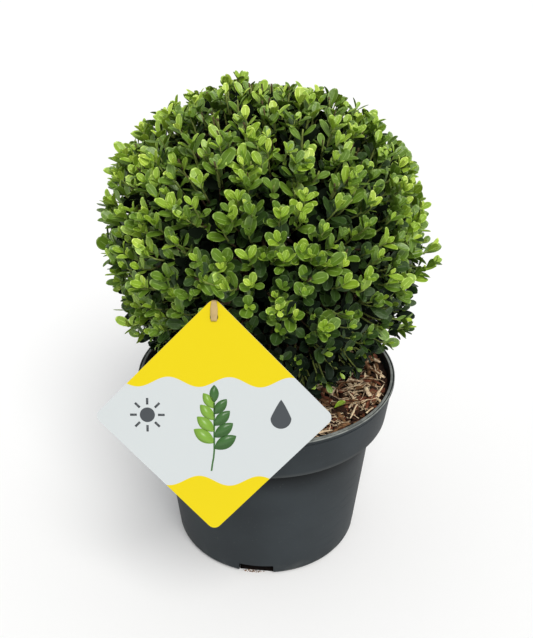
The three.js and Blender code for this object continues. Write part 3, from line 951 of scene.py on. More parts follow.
@dataclass
class Mulch(Assembly):
    """Potting soil under a loose bed of bark chips, torn strips of wood and fine fibres."""

    pot: Pot
    highlight_edge_height: float = 0.150
    crown_height: float = 0.1535
    bank_height: float = 0.0105
    bank_turn: float = -15.0
    gap: float = 0.0004
    seed: int = 7
    bare_radius: float = 0.016
    rings: int = 26
    sides: int = 120
    lump_height: float = 0.0011
    crumb_height: float = 0.00045
    chip_counts: tuple[int, int, int, int] = (60, 260, 420, 500)
    chip_length: Pair = (0.0035, 0.0125)
    chip_thickness: Pair = (0.001, 0.0026)
    strip_count: int = 660
    strip_length: Pair = (0.009, 0.026)
    fibre_count: int = 950
    fibre_length: Pair = (0.008, 0.026)
    sill_heights: Pair = (0.0012, 0.0052)
    crumb_count: int = 40

    def __post_init__(self) -> None:
        """Starts the source of chance for all that lies on the bed."""
        self.random = np.random.default_rng(self.seed + 1)

    @property
    def edge_radius(self) -> float:
        """The bed's radius where it meets the wall."""
        return float(self.wall_radius(self.highlight_edge_height))

    def wall_radius(self, height: float | Array) -> float | Array:
        """How far out the bed may reach at a height, or at several."""
        _, _, _, (foot, low), (top, high) = self.pot.inside()
        return foot + (height - low) / (high - low) * (top - foot) - self.gap

    def level(self, places: Array) -> Array:
        """The bed's height under some points.

        Args:
            places: Points, of which x and y count.

        Returns:
            One height a point.
        """
        x, y = places[..., 0], places[..., 1]
        share = np.hypot(x, y) / self.edge_radius
        lumps = np.sin(210 * x + 3 * np.sin(170 * y)) * np.sin(190 * y + 1.7)
        lumps = lumps + 0.5 * np.sin(520 * x + 410 * y)
        bank = self.bank_height * np.clip((share - 0.45) / 0.5, 0, 1) ** 1.5
        bank = bank * (0.72 + 0.28 * np.cos(np.arctan2(y, x) - math.radians(self.bank_turn)))
        dome = self.crown_height + (self.highlight_edge_height - self.crown_height) * share**2
        return dome + bank + self.lump_height * lumps

    def bed(self) -> Shape:
        """The soil: filled to a little under the lip, with a lumpy crumbled top.

        Returns:
            The bed.
        """
        floor, heel, step, ledge, _ = self.pot.inside()
        gap = self.gap
        inward = [ring / self.rings for ring in range(self.rings)]
        outline = [
            (0.0, heel[1] + gap),
            (floor[0] - gap, heel[1] + gap),
            (heel[0] - gap, heel[1] + 0.5 * gap),
            (step[0] - gap, step[1] + gap),
            (ledge[0] - gap, ledge[1] + gap),
            *((self.edge_radius * (1 - share), self.highlight_edge_height + 0.0005 * share) for share in inward),
            (0.0, self.highlight_edge_height + 0.0005),
        ]
        shape = turned("mulch_bed", outline, self.sides)
        with edit_mode(shape):
            pick(shape, "FACE", lambda face: face.calc_center_median().z > self.highlight_edge_height - 0.0002)
            bpy.ops.mesh.subdivide(number_cuts=1)
        points = np.empty(len(shape.data.vertices) * 3)
        shape.data.vertices.foreach_get("co", points)
        points = points.reshape(-1, 3)
        on_top = points[:, 2] > self.highlight_edge_height - 0.0002
        crumbs = np.random.default_rng(self.seed).normal(0, self.crumb_height, len(points))
        points[on_top, 2] = (self.level(points) + crumbs)[on_top]
        points[on_top, :2] *= (self.wall_radius(points[on_top, 2]) / self.edge_radius)[:, None]
        shape.data.vertices.foreach_set("co", points.ravel())
        shape.data.update()
        smooth(shape, 60)
        return shape

    def chip_blank(self, seed: int) -> Facets:
        """A bark chip: a block with cut corners, pushed out of true.

        Args:
            seed: What its shape is drawn by.

        Returns:
            The chip, about 1 long each way.
        """
        shape = added(bpy.ops.mesh.primitive_cube_add, "chip_blank", size=1)
        with edit_mode(shape):
            pick_all()
            bpy.ops.mesh.bevel(offset=0.16, segments=1, affect="EDGES")
            pick_all()
            bpy.ops.transform.vertex_random(offset=0.14, seed=seed)
        return Facets.taken(shape)

    def strip_blank(self, seed: int) -> Facets:
        """A torn strip of wood: a thin plank, bowed and bent aside, and narrower towards its ends.

        Args:
            seed: What its shape is drawn by.

        Returns:
            The strip, 1 long and up to 1 wide.
        """
        grid = {"x_subdivisions": 6, "y_subdivisions": 1, "size": 1}
        shape = added(bpy.ops.mesh.primitive_grid_add, "strip_blank", **grid)
        random = np.random.default_rng(seed)
        bow, sway = random.uniform(0.2, 1.1), random.uniform(-0.9, 0.9)
        with edit_mode(shape):
            for station in range(7):
                x = station / 6 - 0.5
                pick_row(shape, 0, x)
                narrow = (1.0 - 1.6 * x * x * random.uniform(0.4, 1.0)) * random.uniform(0.75, 1.1)
                bpy.ops.transform.resize(value=(1, narrow, 1), center_override=(x, 0, 0))
                aside, lift = sway * math.sin(4 * x), bow * (0.25 - x * x)
                bpy.ops.transform.translate(value=(random.uniform(-0.03, 0.03), aside, lift))
        apply(shape, "SOLIDIFY", thickness=0.22, offset=0)
        return Facets.taken(shape)

    def scatter(self, many: int, margin: float) -> Array:
        """Random places on the bed, clear of the trunk.

        Args:
            many: How many places.
            margin: How far inside the bed's edge they stay.

        Returns:
            The places, at the bed's own height.
        """
        outer = self.edge_radius - margin
        radius = np.sqrt(self.random.uniform(self.bare_radius**2, outer**2, many))
        turn = self.random.uniform(0, math.tau, many)
        places = np.stack([radius * np.cos(turn), radius * np.sin(turn), np.zeros(many)], axis=-1)
        places[:, 2] = self.level(places)
        return places

    def frames(self, places: Array, sizes: Array, tilt: float, wall: float = math.inf) -> Array:
        """Frames of things that lie about, turned any way round, or along the round wall beside it.

        Args:
            places: Where the things lie.
            sizes: The length along each thing's own axes, one row a thing.
            tilt: The usual tilt from the level, in radians.
            wall: The wall's radius.

        Returns:
            One scaled 3 by 3 frame a thing.
        """
        many, random = len(sizes), self.random
        along_wall = np.arctan2(places[:, 1], places[:, 0]) + math.pi / 2 + random.normal(0, 0.2, many)
        at_wall = np.hypot(places[:, 0], places[:, 1]) > wall - 0.5 * sizes[:, 0]
        turn = np.where(at_wall, along_wall, random.uniform(0, math.tau, many))
        ahead = unit(np.stack([np.cos(turn), np.sin(turn), random.normal(0, tilt, many)], axis=-1))
        above = unit(UP + random.normal(0, tilt, (many, 3)))
        beside = unit(np.cross(above, ahead))
        return np.stack([ahead, beside, np.cross(ahead, beside)], axis=-1) * sizes[:, None, :]

    def laid(self, blank: Facets, places: Array, sizes: Array, tilt: float) -> Facets:
        """Stamps a blank on the bed wherever it stays within the wall and near the top.

        Args:
            blank: What is laid.
            places: Where each copy lies.
            sizes: The length along each copy's own axes.
            tilt: The usual tilt from the level, in radians.

        Returns:
            The copies that stay inside.
        """
        frames = self.frames(places, sizes, tilt, self.edge_radius)
        each = blank.stamped(frames, places).points.reshape(len(places), -1, 3)
        room = self.wall_radius(each[..., 2]) - np.hypot(each[..., 0], each[..., 1])
        kept = (room.min(axis=1) > 0.0003) & (each[..., 2].min(axis=1) > self.highlight_edge_height - 0.006)
        return blank.stamped(frames[kept], places[kept])

    def chips(self) -> None:
        """Lays bark chips of four tones on the bed, the red ones mostly on the right."""
        random = self.random
        blanks = [self.chip_blank(seed) for seed in range(1, 5)]
        tones = (CHIP_TAN, CHIP_BROWN, CHIP_RED, CHIP_DARK)
        for tone, many in zip(tones, self.chip_counts):
            heaps = []
            for blank in blanks:
                share = many // len(blanks)
                places = self.scatter(share, 0.0015)
                if tone is CHIP_RED:
                    left = places[:, 0] < 0
                    places[left, 0] *= np.where(random.uniform(size=left.sum()) < 0.5, -1, 1)
                long = random.uniform(*self.chip_length, share)
                wide = long * random.uniform(0.3, 0.7, share) * (0.65 if tone is CHIP_TAN else 1.0)
                sizes = np.stack([long, wide, random.uniform(*self.chip_thickness, share)], -1)
                places[:, 2] += random.uniform(-0.0003, 0.0032, share)
                heaps.append(self.laid(blank, places, sizes, 0.3))
            name = tone.name.split("_")[0] + "_chips"
            self.dresser.hand_over_heap(name, gathered(heaps), Slot.SOIL, [tone])

    def strips(self) -> None:
        """Lays torn strips of wood, mostly narrow, three tan ones for two brown."""
        random = self.random
        blanks = [self.strip_blank(seed) for seed in range(11, 17)]
        for name, tone, share in (("tan_strips", CHIP_TAN, 0.6), ("brown_strips", CHIP_BROWN, 0.4)):
            heaps = []
            for blank in blanks:
                many = int(self.strip_count * share / len(blanks))
                places = self.scatter(many, 0.002)
                long = random.uniform(*self.strip_length, many)
                wide = 0.0010 + 0.0038 * random.uniform(0, 1, many) ** 2
                sizes = np.stack([long, wide, long * 0.16 + 0.001], -1)
                places[:, 2] += random.uniform(0.0, 0.0055, many)
                heaps.append(self.laid(blank, places, sizes, 0.22))
            self.dresser.hand_over_heap(name, gathered(heaps), Slot.SOIL, [tone])

    def fibres(self) -> None:
        """Lays fine curved fibres over the bed."""
        many, stations, random = self.fibre_count, 6, self.random
        places = self.scatter(many, 0.004)
        turn = random.uniform(0, math.tau, many)
        long = random.uniform(*self.fibre_length, many)
        share = np.linspace(-0.5, 0.5, stations)
        ahead = np.stack([np.cos(turn), np.sin(turn), np.zeros(many)], axis=-1)
        aside = np.stack([-np.sin(turn), np.cos(turn), np.zeros(many)], axis=-1)
        curl = random.normal(0, 0.5, many)
        paths = (
            places[:, None, :]
            + ahead[:, None, :] * (share[None, :, None] * long[:, None, None])
            + aside[:, None, :] * ((curl * long)[:, None, None] * (share**2)[None, :, None])
        )
        lift = random.uniform(0.0008, 0.0046, many)
        paths[..., 2] = self.level(paths) + lift[:, None] + random.normal(0, 0.0005, (many, stations))
        kept = np.hypot(paths[..., 0], paths[..., 1]).max(axis=1) < self.edge_radius - 0.001
        radii = np.repeat(random.uniform(0.00016, 0.0004, many)[:, None], stations, axis=1)
        self.dresser.hand_over_heap("wood_fibres", tubes(paths[kept], radii[kept], 4), Slot.SOIL, [CHIP_TAN])

    def sill_blank(self) -> Facets:
        """A low bank of soil, as wide as a notch of the foot and highest at its back.

        Returns:
            The bank, as it lies in a notch right at the front.
        """
        pot = self.pot
        shape = added(bpy.ops.mesh.primitive_cube_add, "sill_blank", size=1)
        with edit_mode(shape):
            pick(shape, "VERT", lambda corner: corner.co.z < 0)
            bpy.ops.transform.translate(value=(0, 0, 0.5))
            for y, high in zip((-0.5, 0.5), self.sill_heights):
                pick_row(shape, 1, y, lambda corner: corner.co.z > 0.3)
                bpy.ops.transform.translate(value=(0, 0, high - 0.5))
            pick_all()
            bpy.ops.mesh.subdivide(number_cuts=9)
        deep = pot.notch_depth - 0.0060
        put(shape, Matrix.Diagonal((pot.notch_width - 0.0014, deep, 1, 1)))
        put(shape, Matrix.Translation((0, 0.5 * deep - pot.body_foot_radius + 0.0057, 0)))
        return Facets.taken(shape)

    def sills(self) -> None:
        """Near-black soil in the notches of the foot, painted shade for the dark inside of each notch, and
        crumbs before the front one.
        """
        pot, random, many = self.pot, self.random, self.crumb_count
        turns = np.radians(pot.front_notch_turn + 360 / pot.notch_count * np.arange(pot.notch_count))
        across = np.stack([np.cos(turns), np.sin(turns), 0 * turns], axis=-1)
        back = np.stack([-np.sin(turns), np.cos(turns), 0 * turns], axis=-1)
        frames = np.stack([across, back, np.tile(UP, (len(turns), 1))], axis=-1)
        heap = self.sill_blank().stamped(frames, np.zeros((len(turns), 3)))
        high = heap.points[:, 2] > 0.0004
        heap.points[high] += random.normal(0, 0.00018, (int(high.sum()), 3))
        heap.points[:, 2] = np.maximum(heap.points[:, 2], 0.0)
        self.dresser.hand_over_heap("foot_soil", heap, Slot.SOIL, [NOTCH_SHADE_EARTH])
        places = across[:1] * random.normal(-0.0035, 0.0050, (many, 1))
        places = places - back[:1] * (pot.body_foot_radius - random.uniform(0.0026, 0.0056, (many, 1)))
        size = random.uniform(0.0005, 0.0011, many)
        places[:, 2] = 0.64 * 0.6 * size + 0.0001
        frames = self.frames(places, np.stack([size, 0.8 * size, 0.6 * size], axis=-1), 0.0)
        heap = self.chip_blank(2).stamped(frames, places)
        heap.points[:, 2] = np.maximum(heap.points[:, 2], 0.0)
        self.dresser.hand_over_heap("foot_crumbs", heap, Slot.SOIL, [CHIP_BROWN])

    def build(self) -> None:
        """Fills the pot and hands the pieces over."""
        self.dresser.hand_over(self.bed(), Slot.SOIL, MULCH_EARTH, "soil")
        self.chips()
        self.strips()
        self.fibres()
        self.sills()


# Trunk and boughs


@dataclass
class Limbs(Assembly):
    """Short trunk with a root flare and the four boughs that spread from it, in ridged bark."""

    foot_height: float = 0.15435
    fork_height: float = 0.166
    tip_height: float = 0.1822
    flare_radius: float = 0.014
    lean: float = 0.003
    trunk_taper: Outline = (
        (0, 1), (0.05, 0.86), (0.12, 0.70), (0.28, 0.57), (0.5, 0.5), (0.8, 0.46), (1, 0.43)
    )
    bough_count: int = 4
    bough_start: float = 0.012
    bough_length: float = 0.062
    bough_foot_radius: float = 0.0045
    bough_tip_radius: float = 0.003
    first_turn: float = 38.0
    spread: float = 58.0
    ridge_spacing: float = 0.004
    ridge_height: float = 0.0012

    def bough_heading(self, index: int) -> Array:
        """The direction of a bough."""
        return heading(self.first_turn + index * 360 / self.bough_count, 90 - self.spread + 6 * (index % 2))

    def bough_foot(self, index: int) -> Array:
        """Where a bough leaves the trunk's axis, each a little above the last."""
        return np.array([0, 0, self.fork_height - 0.002 + 0.0015 * index])

    def bough_tips(self) -> Array:
        """Where the boughs end, one row a bough."""
        boughs = range(self.bough_count)
        return np.array([self.bough_foot(i) + self.bough_heading(i) * self.bough_length for i in boughs])

    def limb(self, name: str, stations: Sequence[tuple[Vector, float]], ahead: Vector) -> Shape:
        """Extrudes a limb ring by ring and gives it the bark's relief.

        Args:
            name: The piece's name.
            stations: The middle and radius of each ring.
            ahead: The limb's direction, which every ring is square to.

        Returns:
            The limb.
        """
        (middle, radius), *others = stations
        facing = Vector((0, 0, 1)).rotation_difference(ahead).to_euler()
        shape = disc(name, 20, radius, middle, rotation=facing)
        with edit_mode(shape):
            bpy.ops.mesh.select_mode(type="FACE")
            pick_all()
            for next_middle, next_radius in others:
                move = {"value": tuple(next_middle - middle)}
                bpy.ops.mesh.extrude_region_move(TRANSFORM_OT_translate=move)
                scale = next_radius / radius
                bpy.ops.transform.resize(value=(scale, scale, scale), center_override=tuple(next_middle))
                middle, radius = next_middle, next_radius
            face_outwards()
        apply(shape, "SUBSURF", subdivision_type="SIMPLE", levels=1, render_levels=1)
        ridges = bpy.data.textures.new("bark_ridges", "CLOUDS")
        ridges.noise_scale = self.ridge_spacing
        relief = {"strength": self.ridge_height, "mid_level": 0.75, "texture_coords": "LOCAL"}
        apply(shape, "DISPLACE", texture=ridges, **relief)
        smooth(shape, 50)
        return shape

    def build(self) -> None:
        """Models trunk and boughs and hands them over."""
        rise = self.tip_height - self.foot_height
        trunk = []
        for share, radius in self.trunk_taper:
            middle = Vector((self.lean * share * (1 - share), 0, self.foot_height + share * rise))
            trunk.append((middle, self.flare_radius * radius))
        shape = self.limb("trunk_bark", trunk, Vector((0, 0, 1)))
        self.dresser.hand_over(shape, Slot.BARK, OLD_BARK, "trunk")
        for i in range(self.bough_count):
            foot, ahead = Vector(self.bough_foot(i)), Vector(self.bough_heading(i))
            stations = []
            for step in range(7):
                share = step / 6
                along = self.bough_start + share * (self.bough_length - self.bough_start)
                radius = self.bough_foot_radius + share * (self.bough_tip_radius - self.bough_foot_radius)
                sag = Vector((0, 0, 0.0015 * math.sin(share * math.pi)))
                stations.append((foot + ahead * along + sag, radius))
            bough = self.limb(f"bough_bark_{i + 1}", stations, ahead)
            self.dresser.hand_over(bough, Slot.BARK, OLD_BARK, f"bough_{i + 1}")


# Swing tag and rubber band


@dataclass(frozen=True)
class TagPlace:
    """Where the tag hangs: its own frame has x across the card, y up along it and z out of its face."""

    corner: Point = (-0.0353, -0.130, 0.3083)
    lean: float = 20.0
    turn: float = -0.5
    side: float = 0.1173

    @property
    def tilt(self) -> float:
        """The card's turn about X, in radians."""
        return math.radians(90 - self.lean)

    @property
    def frame(self) -> Matrix:
        """From the card's own frame to the row frame."""
        swung = Matrix.Rotation(self.tilt, 4, "X") @ Matrix.Rotation(math.radians(self.turn), 4, "Z")
        return Matrix.Translation(self.corner) @ swung

    @property
    def middle(self) -> float:
        """How far the card's middle is up from its top corner, which is negative."""
        return -self.side / math.sqrt(2)

    def to_card(self, places: Array) -> Array:
        """Points of the row frame in the card's own frame."""
        turn = np.array(self.frame.to_3x3())
        return (places - np.array(self.corner)) @ turn

    def from_card(self, place: Point) -> Array:
        """A point of the card's own frame in the row frame."""
        return np.array(self.frame @ Vector(place))


TAG = TagPlace()


@dataclass
class SwingTag(Assembly):
    """Square card hung by a corner, with rounded corners, a hole, a white edge and a plain print."""

    thickness: float = 0.0009
    corner_radius: float = 0.0054
    hole_drop: float = 0.0134
    hole_radius: float = 0.0028
    ink: float = 0.00006
    sprig_leaves: int = 9
    sprig_foot: float = -0.027
    sprig_tip: float = 0.010
    stem_tail: float = 0.012
    stem_width: float = 0.0012
    sun_place: Pair = (-0.046, 0.001)
    sun_radius: float = 0.0052
    ray_count: int = 8
    ray_middle: float = 0.0096
    ray_size: Pair = (0.0046, 0.0016)
    drop_place: Pair = (0.046, -0.001)
    drop_radius: float = 0.0072
    drop_rise: float = 0.0062

    def on_card(self, place: Pair) -> Vector:
        """A place on the card, from its middle."""
        return Vector((place[0], TAG.middle + place[1], 0))

    def card(self) -> Shape:
        """The card: a plane with bevelled corners, thickened and punched, with the print on its front.

        Returns:
            The card, hung in its place.
        """
        shape = added(bpy.ops.mesh.primitive_plane_add, "tag_card", size=TAG.side)
        shape.data.materials.append(self.dresser.material(CARD_EDGE))
        shape.data.materials.append(self.dresser.material(CARD_FACE))
        with edit_mode(shape):
            pick_all()
            bpy.ops.mesh.bevel(offset=self.corner_radius, segments=10, affect="VERTICES")
        apply(shape, "SOLIDIFY", thickness=self.thickness, offset=0, use_rim=True)
        hole = {"vertices": 32, "radius": self.hole_radius, "depth": 0.01}
        punch = added(bpy.ops.mesh.primitive_cylinder_add, "punch", **hole)
        inset = (abs(TAG.middle) - self.hole_drop) / math.sqrt(2)
        put(punch, Matrix.Translation((inset, inset, 0)))
        apply(shape, "BOOLEAN", operation="DIFFERENCE", solver="EXACT", object=punch)
        bpy.data.objects.remove(punch)
        put(shape, Matrix.Translation((0, TAG.middle, 0)) @ Matrix.Rotation(math.pi / 4, 4, "Z"))
        for face in shape.data.polygons:
            face.material_index = int(face.normal.z > 0.5)
        put(shape, TAG.frame)
        return shape

    def ink_layer(self, name: str, shape: Shape, finish: Finish) -> None:
        """Gives a flat figure the ink's thickness and lays it on the card's face.

        Args:
            name: The piece's name.
            shape: The flat figure, in the card's own frame.
            finish: Its ink.
        """
        apply(shape, "SOLIDIFY", thickness=self.ink, offset=1)
        shape.name = shape.data.name = name
        put(shape, TAG.frame @ Matrix.Translation((0, 0, self.thickness / 2)))
        self.dresser.hand_over(shape, Slot.TAG, finish)

    def leaf_figure(self) -> Facets:
        """A flat pointed leaf of length 1 along x.

        Returns:
            The leaf.
        """
        shape = disc("leaf_figure", 24, 0.5, (0.5, 0, 0))
        with edit_mode(shape):
            for station in range(13):
                x = 0.5 - 0.5 * math.cos(math.pi * station / 12)
                pick_row(shape, 0, x)
                narrow = 0.52 * math.sin(math.pi * x) ** 0.35 if 0 < station < 12 else 1.0
                bpy.ops.transform.resize(value=(1, narrow, 1), center_override=(x, 0, 0))
        return Facets.taken(shape)

    def sprig(self) -> None:
        """A sprig of simple leaves in the middle of the card, and its stem."""
        figure = self.leaf_figure()
        foot, tip = TAG.middle + self.sprig_foot, TAG.middle + self.sprig_tip
        frames, places = [], []
        for i in range(self.sprig_leaves):
            side = 0 if i == self.sprig_leaves - 1 else (-1 if i % 2 else 1)
            share = (i + 1) / self.sprig_leaves
            turn = math.radians(90 - side * (62 - 30 * share))
            length = 0.0185 - 0.006 * share
            ahead = np.array([math.cos(turn), math.sin(turn), 0])
            beside = np.array([-math.sin(turn), math.cos(turn), 0])
            frames.append(np.stack([ahead * length, beside * length, UP], axis=-1))
            places.append([0.0, foot + share * (tip - foot), 0.0])
        halves = [(0, "print_leaves_dark", PRINT_GREEN), (1, "print_leaves_light", PRINT_LIME)]
        for part, name, ink in halves:
            chosen = slice(part, None, 2)
            heap = figure.stamped(np.array(frames)[chosen], np.array(places)[chosen])
            self.ink_layer(name, heap.placed(name, []), ink)
        grid = {"x_subdivisions": 1, "y_subdivisions": 10, "size": 1}
        stem = added(bpy.ops.mesh.primitive_grid_add, "print_stem", **grid)
        length = tip - foot + self.stem_tail
        put(stem, Matrix.Diagonal((self.stem_width, length, 1, 1)))
        put(stem, Matrix.Translation((0, foot - self.stem_tail + length / 2, 0)))
        for corner in stem.data.vertices:
            corner.co.x += 0.0022 * math.sin((corner.co.y - foot) * 90) if corner.co.y < foot else 0
        self.ink_layer("print_stem", stem, PRINT_GREEN)

    def sun(self) -> None:
        """A sun with eight rays on the left of the card."""
        centre, many = self.on_card(self.sun_place), self.ray_count
        sun = disc("print_sun", 40, self.sun_radius, centre)
        ray = added(bpy.ops.mesh.primitive_plane_add, "ray", size=1)
        put(ray, Matrix.Translation((self.ray_middle, 0, 0)) @ Matrix.Diagonal((*self.ray_size, 1, 1)))
        turns = np.arange(many) * math.tau / many
        frames = np.array([np.array(Matrix.Rotation(turn, 3, "Z")) for turn in turns])
        heap = Facets.taken(ray).stamped(frames, np.tile(np.array(centre), (many, 1)))
        self.ink_layer("print_rays", heap.placed("print_rays", []), PRINT_CHARCOAL)
        self.ink_layer("print_sun", sun, PRINT_CHARCOAL)

    def drop(self) -> None:
        """A drop of water on the right of the card: a disc drawn out to a point at its top."""
        centre = self.on_card(self.drop_place)
        shape = disc("print_drop", 48, self.drop_radius, centre)
        for corner in shape.data.vertices:
            up = (corner.co.y - centre.y) / self.drop_radius
            if up > 0:
                corner.co.x = centre.x + (corner.co.x - centre.x) * max(0.0, 1 - up) ** 0.35
                corner.co.y += self.drop_rise * up**2
        self.ink_layer("print_drop", shape, PRINT_CHARCOAL)

    def build(self) -> None:
        """Models the tag and hands it over."""
        self.dresser.hand_over(self.card(), Slot.TAG, node="tag")
        self.sprig()
        self.sun()
        self.drop()


@dataclass
class RubberBand(Assembly):
    """Flat rubber band through the tag's hole, over its top corner and round a twig behind it."""

    thickness: float = 0.0011
    width: float = 0.0050
    twig_up: float = -0.006
    twig_back: float = 0.009
    wrap: float = 0.0024
    pinch: float = 0.34
    front: Outline = (
        (-0.01475, -0.0006), (-0.0149, 0.0004), (-0.0156, 0.00125), (-0.0150, 0.00195), (-0.0130, 0.0017),
        (-0.0090, 0.0013), (-0.0060, 0.00115), (-0.0038, 0.00105), (-0.0027, 0.0002), (-0.0030, -0.0026),
    )
    back: Outline = ((-0.0110, -0.0058), (-0.0140, -0.0020))

    def route(self) -> Outline:
        """Out of the hole, up the card, over its corner, round the twig and back down to the hole.

        Returns:
            Points of the band's middle line, as up the card and out of its face.
        """
        angles = np.radians(np.linspace(76, 235, 5))
        wrapped = [
            (self.twig_up + self.wrap * math.sin(a), self.wrap * math.cos(a) - self.twig_back) for a in angles
        ]
        return [*self.front, *wrapped, *self.back]

    def is_near(self, card: Array, margin: float) -> Array:
        """Says which points are too close to the band.

        Args:
            card: Points in the card's own frame.
            margin: How far from the band's middle line they have to be.

        Returns:
            True for each point that is too close.
        """
        route = np.array(self.route())
        line = np.concatenate([route + (np.roll(route, -1, 0) - route) * share for share in (0, 0.33, 0.67)])
        near = np.abs(card[:, 0]) < (self.width + margin) / 2
        close = np.flatnonzero(near & (card[:, 1] > -0.02) & (card[:, 1] < 0.02))
        apart = np.linalg.norm(card[close][:, None, 1:] - line[None], axis=-1).min(axis=1)
        taken = np.zeros(len(card), bool)
        taken[close] = apart < margin
        return taken

    def strip(self) -> Shape:
        """The band: a closed curve in the plane across the card, made a flat rounded mesh.

        Returns:
            The band, in its place.
        """
        data = bpy.data.curves.new("rubber_band", "CURVE")
        data.dimensions = "3D"
        data.resolution_u = 6
        data.extrude = (self.width - self.thickness) / 2
        data.bevel_depth = self.thickness / 2
        data.bevel_resolution = 3
        data.twist_mode = "Z_UP"
        points = self.route()
        spline = data.splines.new("BEZIER")
        spline.bezier_points.add(len(points) - 1)
        for knot, (up, out) in zip(spline.bezier_points, points):
            knot.co = (out, up, 0)
            knot.handle_left_type = knot.handle_right_type = "AUTO"
        spline.use_cyclic_u = True
        select_only(new_object("rubber_band", data))
        bpy.ops.object.convert(target="MESH")
        shape = bpy.context.active_object
        for corner in shape.data.vertices:
            at_tip = np.interp(corner.co.y, (-0.0075, -0.0022), (0.0, 1.0))
            at_hole = np.interp(corner.co.y, (-0.0150, -0.0115), (0.5, 0.0))
            corner.co.z *= 1 - self.pinch * max(at_tip, at_hole)
        put(shape, TAG.frame @ Matrix.Rotation(-math.pi / 2, 4, "Y"))
        with edit_mode(shape):
            face_outwards(doubles=0.00002)
        smooth(shape, 60)
        return shape

    def build(self) -> None:
        """Models the band and hands it over."""
        self.dresser.hand_over(self.strip(), Slot.BAND, TAN_RUBBER, "band")


# Foliage


@dataclass(frozen=True)
class Bulge:
    """Where the clipping left the ball fuller or thinner: a direction, a rise and a spread."""

    turn: float
    height: float
    rise: float
    spread: float


@dataclass(frozen=True)
class Stray:
    """A single shoot that has grown past the clipped outline, or into a gap of it."""

    turn: float
    height: float
    past: float


@dataclass(frozen=True)
class Guard:
    """A shoot that stands before the rubber band: foot, bend and tip in the card's own frame."""

    foot: Point
    bend: Point
    tip: Point


@dataclass
class Shoots:
    """Shoots as arrays: the curve of each, from its foot to its tip, and what is on it."""

    foot: Array
    bend: Array
    tip: Array
    outward: Array
    vigour: Array
    clipped: Array

    def at(self, share: Array) -> Array:
        """Points on the shoots, at shares of the way from foot to tip, as shoots by stations."""
        t, (foot, bend, tip) = share[..., None], (e[:, None, :] for e in (self.foot, self.bend, self.tip))
        return (1 - t) ** 2 * foot + 2 * t * (1 - t) * bend + t**2 * tip

    def ahead(self, share: Array) -> Array:
        """The shoots' directions at the same places."""
        t, first, last = share[..., None], self.bend - self.foot, self.tip - self.bend
        return unit((1 - t) * first[:, None, :] + t * last[:, None, :])

    @property
    def length(self) -> Array:
        """The length of each shoot, about."""
        first = np.linalg.norm(self.bend - self.foot, axis=-1)
        return first + np.linalg.norm(self.tip - self.bend, axis=-1)


@dataclass
class LeafHeap:
    """Leaves as arrays: root, directions of midrib and upper face, sizes and tint number."""

    root: Array
    along: Array
    face: Array
    length: Array
    width: Array
    tint: Array

    def frames(self) -> Array:
        """One scaled 3 by 3 frame a leaf.

        Returns:
            Frames whose columns are across, along and face.
        """
        axes = (np.cross(self.along, self.face), self.along, self.face)
        sizes = (self.width, self.length, np.sqrt(self.length * self.width))
        return np.stack([axis * size[:, None] for axis, size in zip(axes, sizes)], axis=-1)

    def kept(self, wanted: Array) -> "LeafHeap":
        """Some of the leaves, by a mask or numbers."""
        parts = (self.root, self.along, self.face, self.length, self.width, self.tint)
        return LeafHeap(*(part[wanted] for part in parts))


